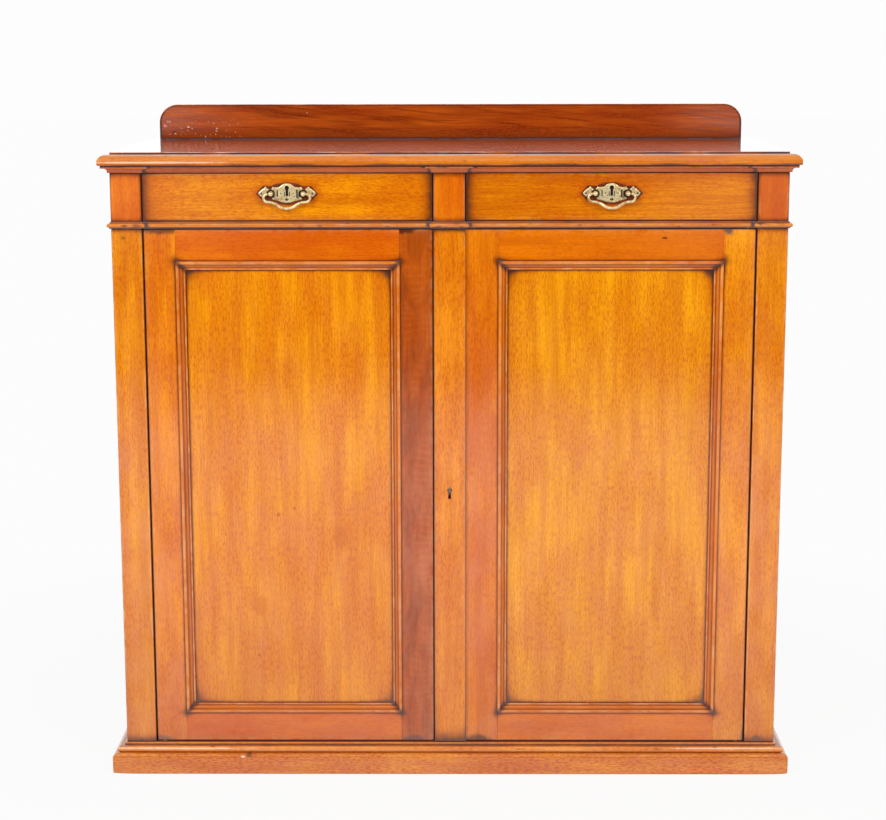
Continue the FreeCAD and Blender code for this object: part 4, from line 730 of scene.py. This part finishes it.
class CHIFFONIER_OT_finishes(bpy.types.Operator):
    """Mix the finishes: mahogany for each member, bare pine and oak, brass, iron and steel"""

    bl_idname = "chiffonier.finishes"
    bl_label = "Finishes"

    def execute(self, context):
        colours = context.scene.chiffonier_colours
        low, high = box("centre_pilaster")
        foot = low[2]
        # Golden mahogany with short dark pores; redder, close-grained blocks between the drawers.
        # Marks: soot with painted shade at the top of the left pilaster, dust with painted shade at the feet.
        polished_mahogany("pilasters", "#EE9806 #CE7400 #CA6400", haze=0.2, marks=(
            (-0.533, 0.9136, 5, 4, SOOT_AND_SHADE, 0.5), (0.523, foot + 5 * MM, 9, 6, DUST_AND_SHADE, 0.6),
            (-0.52, foot, 30, 5, DUST_AND_SHADE, 0.5)))
        # Mark: a dark spot at the keyhole, soot with painted shade.
        polished_mahogany("centre_pilaster", "#F09208 #D07200 #CC6600",
                          solid_member((2, 0, 1), low, high, (1, 1, 9, 3), 1.0),
                          marks=((0.0, foot + KEYHOLE_HEIGHT, 1.2, 1.2, SOOT_AND_SHADE, 0.8),))
        polished_mahogany("blocks", "#E67E0A #CE6404 #C65202", pores=0.35, cloud=0.7,
                          other=("#D8700A #C05406 #B84A04", 0, 0.2))
        for side, figure, tones in (("left", mottled, "#F29A00 #CE7200 #CA6000"),
                                    ("right", cathedral, "#E68C00 #C26600 #BE5600")):
            low, high = box(side + "_drawer_front")
            member = solid_member((0, 2, 1), low, high, (8, 8, 1.2, 0.8), 0.9, (3.0 * high[0], 0, 0))
            polished_mahogany(side + "_drawer", tones, member, figure=figure, pores=0.55)
            finish_doors(side)
        polished_mahogany("door_mouldings", "#E88414 #CC660C #C45A0C", pores=0.2, soil_and_shade="#342428")
        polished_mahogany("bead", "#E48C22 #C66C14 #BE5E12", pores=0.2, soil_and_shade="#2C2024")
        polished_mahogany("bed_mould", "#D46A22 #B04C12 #B84E12", pores=0.25, soil_and_shade="#2C2024")
        # Marks: a dark knock, soot with painted shade, and a pale spot in it, wear with a painted highlight.
        polished_mahogany("plinth", "#EE9822 #CA6E14 #C86212", pores=0.9, marks=(
            (-0.3417, 0.0331, 6, 3, SOOT_AND_SHADE, 0.7), (-0.352, 0.031, 4, 2, RUBBED_AND_HIGHLIGHT, 0.6)))
        # Marks: painted highlights along the torus's upper half at both ends, and a mauve grey painted shade
        # along its lower half across the front.
        polished_mahogany("torus", "#F8A84C #E2862A #DA7A2A", soil_and_shade="#54281C", pale="#E08A40", marks=(
            (-0.47, 0.0431, 130, 1.5, RUBBED_AND_HIGHLIGHT, 0.5), (0.47, 0.0437, 110, 1.5, RUBBED_AND_HIGHLIGHT, 0.45),
            (0.0, 0.0385, 700, 2.0, "#B88474", 0.4)))
        # The top is red brown above; its edge has been rubbed as golden as the front.
        # Mark: a painted reflection along the lower edge of the nose at the left.
        polished_mahogany("top", "#E08818 #C46A0C #BE5E0C", pores=0.35, level=0.12, ripple=0.02, dirt_and_shade=1.0,
                          soil_and_shade="#2A181C", pale="#FFE8DC", marks=((-0.48, 1.0370, 130, 1.6, RUBBED_AND_HIGHLIGHT, 0.5),),
                          other=("#C06634 #A04A26 #A04A26", 2, box("top_board")[1][2] - 0.8 * MM))
        # Marks: a dark patch by the left foot, soot with painted shade, and a small pale chip.
        polished_mahogany("backboard", "#BC580E #8A3408 #8E3406", pores=0.6, streak=0.8, ripple=0.04,
                          figure=weathered, marks=((-0.505, 1.066, 4, 3, SOOT_AND_SHADE, 0.6),
                                                   (-0.262, 1.1004, 1.2, 1.2, RUBBED_AND_HIGHLIGHT, 0.6)))
        polished_mahogany("sides", "#DC7C0A #B85A06 #B04E06",
                          solid_member((2, 1, 0), *box("left_side"), (0, 0, 6, 4), skin=0.0))
        plain_wood("pine_planed_across", "#C9A274 #9C7043", (0, 1, 2))
        plain_wood("pine_stained_red_rails", "#8E3A10 #561C06", (0, 1, 2))
        plain_wood("pine_planed_deep", "#C4A074 #946C44", (1, 2, 0))
        plain_wood("pine_planed_upright", "#BE9A6E #8E683F", (2, 0, 1), 40.0)
        plain_wood("oak_planed_deep", "#B08C5A #7E5E38", (1, 2, 0), 90.0)
        plain_wood("oak_planed_across", "#B08C5A #7E5E38", (0, 2, 1), 90.0)
        brass = [(*colour, 1.0) for colour in (colours.brass, colours.tarnish)]
        aged_metal("brass_cast_handles", *brass, 0.46, 240.0, "#3A2A2C")
        aged_metal("brass_plain_plates", *brass, 0.40, 120.0)
        aged_metal("iron_forged_locks", "#6E6A66", "#453A34", 0.42, 150.0)
        aged_metal("iron_blackened_door_lock", "#2A2624", "#161210", 0.6, 150.0)
        aged_metal("steel_drawn_bolts", "#A8A39C", "#6B625A", 0.3, 150.0)
        return {"FINISHED"}


def slab(profile, marks_on, half, front, back, foot, seed, dents, dent_depth):
    """Moulded slab: every point (p, h) of the profile becomes a rectangle that is p wider at the front and
    both sides but not at the back. A place on the rectangle moves by p times (x / half, -1) at the front and
    by p times (+-1, -share) at a side, where the share of the way from the back grows from 0 to 1."""
    rng = np.random.default_rng(seed)
    xs = spaced(2 * half, 4 * MM, (1 * MM, 4 * MM)) - half
    ys = spaced(back - front, 4 * MM, (1 * MM, 4 * MM))
    share, level, deep = ys / ys[-1], 0 * xs, 0 * ys
    base = ((deep - half, back - ys), (xs, level + front), (deep + half, front + ys),
            (xs[::-1], level + back))
    moves = ((deep - 1, -share), (xs / half, level - 1), (deep + 1, -share[::-1]), (xs[::-1] / half, level))
    cuts = (slice(0, -1), slice(None), slice(1, None), slice(1, -1))
    base, moves = [np.concatenate([np.stack(side, 1)[cut] for side, cut in zip(sides, cuts)])
                   for sides in (base, moves)]
    p, h = profile.T * MM
    around, arc = lengths_along(base), lengths_along(profile) * MM
    marks = np.zeros((len(p), len(around)))
    nosing = np.where(profile[:, 0] > 12)[0]
    for _ in range(dents):
        spot = arc[rng.choice(nosing)]
        wide, tall = rng.uniform(1.5, 6) * MM, rng.uniform(0.8, 2.0) * MM
        deep, centre = rng.uniform(0.4, 1), rng.uniform(0, 2.0)
        marks += deep * bell(around - centre, wide) * bell(arc[:, None] - spot, tall)
    edge = np.clip(p / p.max(), 0, 1)[:, None]
    push = 0.08 * MM * (even_noise(around, 40 * MM, seed) - 1) * edge
    push = push - dent_depth * MM * np.clip(marks, 0, 1.2)
    places = base + (p[:, None] + push)[..., None] * moves
    points = np.dstack((places, np.broadcast_to(foot + h[:, None], marks.shape)))
    x, y, z = np.moveaxis(seamed(points), 2, 0)
    grime_and_shade, wear_and_highlight = [trait[:, None] for trait in marks_on]
    return part(points, np.dstack((x + 3, y + z + 5)),
                grime_and_shade * (0.75 + 0.35 * even_noise(around, 45 * MM, seed + 1)) + 0.7 * marks,
                wear_and_highlight * (0.6 + 0.5 * even_noise(around, 30 * MM, seed + 2)))


def rounded_sheet(low, high, corner, radius, seed):
    """Board with two round upper corners. Its outline is drawn in along an outward direction that turns
    evenly round the corners: by r (1 - sin a) at the depth r (1 - cos a) behind each face, then in a few flat
    steps towards the middle of each face."""
    foot_z, top_z = low[2], high[2]
    half, middle, thick = (high[0] - low[0]) / 2, (low[0] + high[0]) / 2, high[1] - low[1]
    turn = np.linspace(0, np.pi / 2, 14)
    foot = spaced(2 * half, 5 * MM) - half
    rise = spaced(top_z - corner - foot_z, 4 * MM)
    share = 1 - rise / rise[-1]
    crown = (spaced(2 * (half - corner), 5 * MM) - half + corner)[-2:0:-1]
    ring = np.stack((np.cos(turn), np.sin(turn)), 1)
    right = np.array((half - corner, top_z - corner)) + corner * ring
    edge, out = [np.concatenate((
        np.stack((along, 0 * foot + below), 1), np.stack((0 * rise + beside, slant), 1)[1:-1], bend,
        np.stack((0 * crown + over, 0 * crown + above), 1), (bend * (-1, 1))[::-1],
        np.stack((0 * rise - beside, slant), 1)[-2:0:-1]))
        for along, below, beside, slant, bend, over, above in (
            (foot, foot_z, half, foot_z + rise, right, crown, top_z),
            (foot / half, -1, 1, -share, ring, 0, 1))]
    around = lengths_along(edge)
    angle = np.linspace(0, np.pi / 2, 5)
    steps = np.array([22, 14, 8, 5, 2.4]) * MM
    inset = np.concatenate((steps, radius * (1 - np.sin(angle))))
    depth = np.concatenate((0 * steps, radius * (1 - np.cos(angle))))
    inset = np.concatenate((inset, inset[::-1]))[:, None]
    depth = np.concatenate((depth, thick - depth[::-1]))[:, None]
    uneven = 1 + 0.4 * even_noise(around, 25 * MM, seed)
    inner = np.where(inset < radius * 1.01, inset * uneven, inset)
    flat = edge - inner[..., None] * out
    points = np.dstack((middle + flat[..., 0], np.broadcast_to(low[1] + depth, inner.shape), flat[..., 1]))
    x, y, z = np.moveaxis(seamed(points), 2, 0)
    above, beside = points[..., 2] - foot_z, half - np.abs(points[..., 0] - middle)
    # Painted shade darkens the foot where the board stands on the top, together with grime; darker too
    # towards the sides and close to the edge.
    soil_and_shade = 0.8 * fade(above, 2.5 * MM) + 0.5 * fade(above, 16 * MM)
    soil_and_shade = soil_and_shade + 0.35 * fade(beside, 6 * MM) + 0.7 * (np.abs(inset - 2.4 * MM) < MM)
    worn = fade(inset, 1.0 * MM) * (0.6 + 0.5 * even_noise(around, 33 * MM, seed + 4))
    return part(points, np.dstack((x + 11, z + y + 2)), soil_and_shade * (inset < 21 * MM),
                worn * (depth < thick / 2) * (above > 4 * MM))


class CHIFFONIER_OT_top(bpy.types.Operator):
    """Build the moulded top board and the round-cornered backboard"""

    bl_idname = "chiffonier.top"
    bl_label = "Top and backboard"

    def execute(self, context):
        sizes = context.scene.chiffonier_sizes
        low, high = box("top_board")
        body = box("frieze_blocks")
        profile = outline(TOP, 12)
        shown = profile[:, 0] > -29
        # Dark lines: the painted shadow on the step and under the nose, with grime. Pale heights: a painted
        # reflection on the ledge below the step and a rubbed pale band along the front of the top.
        found = traits(profile, ((18.6, 2.6), (0, 1.6), (1.6, 0.6), (3.2, 0.35)), ((17, 0.8), (20.8, 1)), -9)
        board = slab(profile[shown], [trait[shown] for trait in found], body[1][0], body[0][1], high[1],
                     low[2], 11, sizes.dents * 3, sizes.dent_depth)
        sheet = rounded_sheet(*box("backboard"), CORNER_RADIUS, sizes.arris * 1.3, 12)
        for made, name, suffix, finish in ((board, "top_board", "_moulded", "top"),
                                           (sheet, "backboard", "_rounded", "backboard")):
            build(name + suffix, [made], POLISHED + finish, "carcase", (name,))
        return {"FINISHED"}


class CHIFFONIER_OT_mouldings(bpy.types.Operator):
    """Carry the bed mould, the bead over the doors and the torus round the carcase in mitred lengths"""

    bl_idname = "chiffonier.mouldings"
    bl_label = "Carcase mouldings"

    def execute(self, context):
        sizes = context.scene.chiffonier_sizes
        plain, broken = body_corners()
        # Dark lines are painted shadow lines, with grime, in the quirks and under the overhangs: under the
        # top's nose on the bed mould, beside the bead and above the torus. Pale heights are painted
        # highlights on the bed mould's cove and the bead's crest, and a paler fillet over the torus.
        for name, node_name, steps, corners, finish, seed, lines, pale in (
                ("bed_mould_mitred", "bed_mould", BED, broken, "bed_mould", 21,
                 ((12.2, 2.4), (10.8, 0.9), (0, 0.8)), ((5.0, 0.35),)),
                ("rail_bead_mitred", "rail_astragal", ASTRAGAL, broken, "bead", 41,
                 ((0, 1.2), (1.2, 1.2), (9.8, 0.8), (11.5, 0.8)), ((6.4, 0.5),)),
                ("plinth_torus_mitred", "plinth_moulding", TORUS, plain, "torus", 61,
                 ((0, 0.5), (11.2, 0.8), (14.8, 0.2)), ((13.0, 0.3),))):
            profile = outline(steps)
            runs = round_the_plan(profile, traits(profile, lines, pale), corners, box(node_name)[0][2], seed,
                                  step=3 * MM, dents=(sizes.dents, sizes.dent_depth))
            build(name, runs, POLISHED + finish, "carcase", (node_name,))
        return {"FINISHED"}


class CHIFFONIER_OT_plinth(bpy.types.Operator):
    """Build the plinth boards, mitred at the front corners, with a foot worn by a century of floors"""

    bl_idname = "chiffonier.plinth"
    bl_label = "Plinth"

    def execute(self, context):
        sizes = context.scene.chiffonier_sizes
        profile = outline(PLINTH, longest=2.0)
        # Dark lines: a painted contact shade along the foot, with grime; pale height: a painted highlight
        # along the round upper edge.
        runs = round_the_plan(profile, traits(profile, ((0, 0.9), (35.5, 0.15)), ((33.0, 0.7),)),
                              body_corners()[0], 0.0, 81, step=4 * MM,
                              dents=(sizes.dents * 2, sizes.dent_depth), knocked=5.0)
        build("plinth_mitred", runs, POLISHED + "plinth", "carcase",
              ("plinth_front", "plinth_sides"))
        return {"FINISHED"}


class CHIFFONIER_OT_pilasters(bpy.types.Operator):
    """Build the outer pilasters and the three blocks beside the drawers"""

    bl_idname = "chiffonier.pilasters"
    bl_label = "Pilasters and blocks"

    def execute(self, context):
        radius = context.scene.chiffonier_sizes.arris
        for number, side in enumerate(SIDES):
            name = side + "_pilaster"
            made = post(*box(name), radius, 100 + number, (0.4, 0.4, 9, 5))
            build(name + "_worn", [made], POLISHED + "pilasters", "carcase", (name,))
        low, high = box("frieze_blocks")
        half, inner, middle = block_edges()
        posts = [post(np.array((x0, *low[1:])), np.array((x1, *high[1:])), radius, 110 + number,
                      (1.2, 1.2, 3.5, 5), 4 * MM)
                 for number, (x0, x1) in enumerate(((-half, -inner), (-middle, middle), (inner, half)))]
        build("frieze_blocks_worn", posts, POLISHED + "blocks", "carcase",
              ("frieze_blocks",))
        return {"FINISHED"}


class CHIFFONIER_OT_door_mouldings(bpy.types.Operator):
    """Carry the panel mouldings round both doors in four mitred lengths"""

    bl_idname = "chiffonier.door_mouldings"
    bl_label = "Panel mouldings"

    def execute(self, context):
        profile = outline(BOLECTION)
        # Dark lines: painted shadow in the outer quirk and along the panel; pale heights: painted highlights
        # on the bead's crest and the inner bead; the inside corners darken with soot and painted shade.
        marks_on = traits(profile, ((0, 1.3), (-8.6, 1.6)), ((2.6, 0.4), (-5.8, 0.3)), -0.1, 0.2)
        for number, side in enumerate(SIDES):
            name = side + "_door_moulding"
            low, high = box(name)
            corner = np.array((low[0], box(side + "_door_stiles")[0][1], low[2]))
            wide, _, tall = high - low
            runs = [moulding(profile, marks_on, start, along, length, inward, -BACKWARD, (-1, -1),
                             130 + 10 * number + n, 4 * MM, soot_and_shade=(1.1, 6.0))
                    for n, (start, along, length, inward) in enumerate((
                        (corner, ACROSS, wide, UP), (corner + UP * tall, ACROSS, wide, -UP),
                        (corner, UP, tall, ACROSS), (corner + ACROSS * wide, UP, tall, -ACROSS)))]
            build(name + "_mitred", runs, POLISHED + "door_mouldings", side + "_door",
                  (name,))
        return {"FINISHED"}


def cast_plate(centre, axis, face, back):
    """Cast plate: a grid of columns from tip to tip, each from the lower to the upper edge. Its height is a
    dome t (1 - exp(-d / 0.7)) of the distance d to the edge, with chiselled bars, a stud on each side, a
    leaf, a seat round each post and a deep keyhole."""
    upper, lower = [trace(edge) for edge in PLATE]
    right = np.unique(np.concatenate((upper[:, 0], lower[:, 0], np.linspace(0, 46.9, 110))))
    xs = np.concatenate((-right[:0:-1], right))
    top, bottom = [np.interp(np.abs(xs), edge[:, 0], edge[:, 1]) for edge in (upper, lower)]
    share = (1 - np.cos(np.pi * np.linspace(0, 1, 56))) / 2
    z = bottom[:, None] + (top - bottom)[:, None] * share
    x = np.broadcast_to(xs[:, None], z.shape)
    aside = np.abs(x)
    rim = np.concatenate((upper, lower))
    rim = np.concatenate((rim, rim * (-1, 1)))
    away = np.sqrt(((np.stack((x, z), 2)[:, :, None] - rim) ** 2).sum(3).min(2))
    lines = 1.3 * bell(np.hypot(x / 1.6, z + 9.6) - 1.2, 0.7)
    bars = ((-15.8, 1.1, -5, 5.5), (-4.0, 0.7, -4.5, 3.5), (4.4, 0.7, -4.5, 3.5), (16.2, 1.0, -7, 6.5))
    for place, half, low, high in bars:
        beyond = np.abs(z - (low + high) / 2) - (high - low) / 2
        lines = lines + bell(x - place, half, 4) / (1 + np.exp(beyond / 0.3))
    hollow = 0.55 * bell(x - 19.0, 2.4, 4) / (1 + np.exp((np.abs(z + 1) - 7.5) / 0.8))
    stud = np.hypot(aside - 10.4, z - 0.3)
    lines = lines + 1.3 * bell(stud, 1.2) - 0.5 * bell(stud - 1.9, 0.5)
    lines = lines + 1.6 * bell(np.hypot(aside - 42.0, z - 0.4), 1.7, 4)
    seat = np.hypot(aside - POST_SPACING / 2, z)
    height = 1.35 * (1 - fade(away, 0.7)) - 0.5 * np.clip(lines + hollow, -0.6, 1)
    height = np.where(seat < 5.2, 2.4 - 0.2 * np.clip(seat - 4.4, 0, 1), height)
    keyhole = np.hypot(x, z - 9.6)
    slot = (keyhole < 3.45) | ((aside < 1.8) & (z < 9.6) & (z > -3.4))
    height = np.where(slot, 0.1, height + 0.35 * bell(keyhole - 4.4, 0.6) * (z > 9))
    # Darkening kept in the grime attribute: patina in the bars, leaf and studs, a dark line along the edge,
    # and painted shade in the wide hollow, round each post's seat and in the keyhole.
    groove = np.clip(lines, 0, 1) * 1.2 + 0.9 * hollow + 0.8 * fade(away, 0.5)
    groove = np.clip(groove + 1.2 * bell(seat - 5.6, 1.5) + slot * 2.0, 0, 2)
    thick = (back - face) / MM - 0.35
    front = np.stack((centre + x * MM, back - (height * thick / 2.0 + 0.05) * MM, axis + z * MM), 2)
    behind = front.copy()
    behind[..., 1] = back
    rings = np.concatenate((front, behind[:, ::-1]), 1)
    return part(rings, seamed(rings)[..., ::2], np.concatenate((groove, 0 * groove), 1))


def swan_neck(centre, axis, depth, wire):
    """Swing handle: a tube along the stubs, the loop outside each post and two curves that meet in the grip,
    with the radius w (0.93 + 0.09 exp(-(s / 14)^2)), s being the length from the middle."""
    shoulder, loop, grip, drop = POST_SPACING / 2 + 5.0, 6.4, 24.0, 23.4
    slope = 2 * math.atan2(drop - 2 * loop, shoulder)
    neck = shoulder / math.sin(slope) - grip
    root = math.sin(slope / 2), 1 - math.cos(slope / 2)
    bend = (grip * math.sin(slope), -drop + grip * (1 - math.cos(slope)))
    half = trace([(POST_SPACING / 2, 0.0), (shoulder, 0.0), ((shoulder + loop, -loop), (shoulder, -2 * loop)),
                  ((shoulder - neck * root[0], -2 * loop - neck * root[1]), bend),
                  ((grip * root[0], -drop + grip * root[1]), (0, -drop))], 30)
    path = np.concatenate((half, (half * (-1, 1))[-2::-1]))
    step = lengths_along(path)
    full = step[-1]
    s = np.concatenate([np.linspace(*span) for span in ((0, 5.2, 6), (5.6, full - 5.6, 260),
                                                        (full - 5.2, full, 6))])
    path = np.stack([np.interp(s, step, path[:, k]) for k in (0, 1)], 1)
    path[3:-3] = (path[1:-5] + 2 * path[2:-4] + 3 * path[3:-3] + 2 * path[4:-2] + path[5:-1]) / 9
    tangent = np.gradient(path, axis=0)
    tangent /= np.linalg.norm(tangent, axis=1, keepdims=True)
    from_end = np.minimum(s, full - s)
    radius = wire / MM * (0.93 + 0.09 * bell(s - full / 2, 14))
    radius = np.minimum(np.where(from_end < 5.3, 1.5, radius), 2.4)[:, None]
    angle = np.linspace(0, 2 * np.pi, 20, endpoint=False)
    x = centre + (path[:, :1] - radius * np.sin(angle) * tangent[:, 1:]) * MM
    z = axis + (path[:, 1:] + radius * np.sin(angle) * tangent[:, :1]) * MM
    points = np.dstack((x, depth + radius * np.cos(angle) * MM, z))
    # Painted shade on the back half of the wire and where it goes into the posts.
    near = fade(np.abs(from_end - 5.0), 1.5)[:, None]
    return part(points, seamed(points)[..., ::2], near * 0.5 + 0.3 * (np.cos(angle) > 0.3))


class CHIFFONIER_OT_handles(bpy.types.Operator):
    """Cast the two brass plates and bend the two swan-neck bails"""

    bl_idname = "chiffonier.handles"
    bl_label = "Drawer handles"

    def execute(self, context):
        wire = context.scene.chiffonier_sizes.bail_wire
        for side in SIDES:
            low, high = box(side + "_handle_plate")
            centre, axis = (low[0] + high[0]) / 2, sum(box(side + "_handle_posts")[:, 2]) / 2
            depth = sum(box(side + "_bail")[:, 1]) / 2
            for name, suffix, body, made in (
                    ("_handle_plate", "_cast", "_drawer", cast_plate(centre, axis, low[1], high[1])),
                    ("_bail", "_swan_neck", "_bail", swan_neck(centre, axis, depth, wire))):
                build(side + name + suffix, [made], "brass_cast_handles", side + body,
                      (side + name,), 50.0)
        return {"FINISHED"}


# Finishes of the construction nodes that keep their shape; {} stands for each side.
MEMBERS = {
    POLISHED + "{}_drawer": "{}_drawer_front",
    POLISHED + "{}_stiles": "{}_door_stiles",
    POLISHED + "{}_rails": "{}_door_rails",
    POLISHED + "{}_panel": "{}_door_panel",
    POLISHED + "centre_pilaster": "centre_pilaster",
    POLISHED + "sides": "{}_side",
    "oak_planed_deep": "{}_drawer_sides {}_drawer_bottom",
    "oak_planed_across": "{}_drawer_back",
    "pine_stained_red_rails": "top_rail drawer_rail bottom_board",
    "pine_planed_across": "dust_boards plinth_back plinth_glue_blocks shelf stops backboard_dowels",
    "pine_planed_deep": "drawer_kickers drawer_runners drawer_guides shelf_bearers",
    "pine_planed_upright": "back_boards",
    "brass_plain_plates": "{}_handle_posts carcase_door_plates left_door_plates right_door_pivots",
    "iron_forged_locks": "{}_drawer_lock",
    "iron_blackened_door_lock": "door_lock",
    "steel_drawn_bolts": "{}_drawer_lock_bolt door_lock_bolt left_door_top_bolt left_door_bottom_bolt",
}


class CHIFFONIER_OT_members(bpy.types.Operator):
    """Give the members that keep their construction shape their finishes"""

    bl_idname = "chiffonier.members"
    bl_label = "Carcase, drawers and doors"

    def execute(self, context):
        for side in SIDES:
            for finish, names in MEMBERS.items():
                for name in names.format(*[side] * 2).split():
                    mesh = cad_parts[name].data
                    mesh.materials.clear()
                    mesh.materials.append(bpy.data.materials[finish.format(side)])
        return {"FINISHED"}


# ---- Stage ----
def stage_floor(colour):
    """Pale floor, a disc whose radius grows evenly. Seen directly it shows as near white with a faint shadow;
    in the polish it shows white for some three metres and is dark beyond, as the edge of a paper roll is,
    with pale walls far off at both sides."""
    radius = np.concatenate(([0.02], np.linspace(0.25, 30, 40)))
    angle = np.linspace(0, 2 * np.pi, 64, endpoint=False)
    points = radius[:, None, None] * np.stack((np.cos(angle), np.sin(angle), 0 * angle), 1)
    at_i, at_j = cells(len(radius), len(angle))
    faces = at_i * len(angle) + at_j % len(angle)
    mesh = bpy.data.meshes.new("floor")
    mesh.from_pydata(points.reshape(-1, 3).tolist(), [], faces.tolist() + [list(range(len(angle)))])
    add = Recipe("paper_matt_floor")
    path = add("ray")
    mirrored = add("MAXIMUM", path["Is Glossy Ray"], path["Is Transmission Ray"])
    away = add.root(add.x, add.y)
    aside = add("DIVIDE", add("ABSOLUTE", add.x), away)
    walls = add("times", add("between", away, 8.6, 10.6), add("between", aside, 0.10, 0.15, 0.0, 0.5))
    roll = add("MAXIMUM", add("between", away, 3.0, 4.6, 1.0, 0.0), walls)
    white, matt = add("glow", WHITE, 0.978), add("matt", (*colour, 1.0))
    direct = add("either", add("between", away, 0.7, 1.6, 0.94, 1.0), matt, white)
    lit = add("either", path["Is Camera Ray"], matt, direct)
    add("material", add("either", mirrored, lit, add("glow", WHITE, roll)))
    mesh.materials.append(bpy.data.materials["paper_matt_floor"])
    floor = bpy.data.objects.new("floor", mesh)
    bpy.context.scene.collection.objects.link(floor)


def studio_air():
    """Soft light from all round; white behind the object, and dim in front where the polish shows it."""
    world = bpy.data.worlds.new("studio")
    bpy.context.scene.world = world
    world.use_nodes = True
    tree = world.node_tree
    tree.nodes.clear()
    path = node(tree, "ray")
    direction = node(tree, "axes", node(tree, "place")["Generated"])
    behind = node(tree, "evenly", direction[1], -0.35, 0.2, 0.0, 1.35)
    above = node(tree, "evenly", direction[2], 0.2, 0.75, 0.02, 0.8)
    mirrored = node(tree, "MAXIMUM", path["Is Glossy Ray"], path["Is Transmission Ray"])
    soft = node(tree, "blend", mirrored, 0.34, node(tree, "MAXIMUM", behind, above))
    strength = node(tree, "blend", path["Is Camera Ray"], soft, 0.985)
    node(tree, "world", node(tree, "air", WHITE, strength))


def lamp(name, place, power):
    """Large soft box aimed at the middle of the doors: its back axis is the direction from there."""
    light = bpy.data.lights.new(name, "AREA")
    light.shape = "RECTANGLE"
    light.size = light.size_y = 2.2
    light.energy = power
    made = bpy.data.objects.new(name, light)
    bpy.context.scene.collection.objects.link(made)
    made.location = place
    x, y, z = np.array(place) - LAMP_AIM
    made.rotation_euler = (math.atan2(math.hypot(x, y), z), 0.0, math.atan2(x, -y))


class CHIFFONIER_OT_stage(bpy.types.Operator):
    """Lay the pale floor, hang the soft lamps and set the camera"""

    bl_idname = "chiffonier.stage"
    bl_label = "Floor, light and camera"

    def execute(self, context):
        colours = context.scene.chiffonier_colours
        stage_floor(colours.floor)
        studio_air()
        lamp("soft_box_left", (-2.6, -3.0, 2.9), 112 * colours.lamp)
        lamp("soft_box_right", (2.6, -3.0, 2.9), 98 * colours.lamp)
        lens = bpy.data.cameras.new("camera")
        lens.lens, lens.sensor_width, lens.sensor_fit = LENS, SENSOR, "HORIZONTAL"
        camera = bpy.data.objects.new("camera", lens)
        camera.location = CAMERA_PLACE
        camera.rotation_euler = CAMERA_TURN
        context.scene.collection.objects.link(camera)
        context.scene.camera = camera
        context.scene.view_settings.view_transform = "Standard"
        return {"FINISHED"}


class CHIFFONIER_PT_panel(bpy.types.Panel):
    """Sizes, colours and steps of the chiffonier in the 3D view's sidebar"""

    bl_idname = "CHIFFONIER_PT_panel"
    bl_label = "Chiffonier"
    bl_space_type = "VIEW_3D"
    bl_region_type = "UI"
    bl_category = "Chiffonier"

    def draw(self, context):
        for group in (context.scene.chiffonier_sizes, context.scene.chiffonier_colours):
            for name in group.__annotations__:
                self.layout.prop(group, name)
        for step in STEPS:
            self.layout.operator(step.bl_idname)


STEPS = (CHIFFONIER_OT_finishes, CHIFFONIER_OT_top, CHIFFONIER_OT_mouldings, CHIFFONIER_OT_plinth,
         CHIFFONIER_OT_pilasters, CHIFFONIER_OT_door_mouldings, CHIFFONIER_OT_handles, CHIFFONIER_OT_members,
         CHIFFONIER_OT_stage)
CLASSES = (ChiffonierSizes, ChiffonierColours) + STEPS + (CHIFFONIER_PT_panel,)


def register():
    for each in CLASSES:
        bpy.utils.register_class(each)
    bpy.types.Scene.chiffonier_sizes = bpy.props.PointerProperty(type=ChiffonierSizes)
    bpy.types.Scene.chiffonier_colours = bpy.props.PointerProperty(type=ChiffonierColours)


def unregister():
    del bpy.types.Scene.chiffonier_sizes
    del bpy.types.Scene.chiffonier_colours
    for each in reversed(CLASSES):
        bpy.utils.unregister_class(each)


def main():
    register()
    bpy.ops.chiffonier.finishes()
    bpy.ops.chiffonier.top()
    bpy.ops.chiffonier.mouldings()
    bpy.ops.chiffonier.plinth()
    bpy.ops.chiffonier.pilasters()
    bpy.ops.chiffonier.door_mouldings()
    bpy.ops.chiffonier.handles()
    bpy.ops.chiffonier.members()
    bpy.ops.chiffonier.stage()


if __name__ == "__main__":
    main()
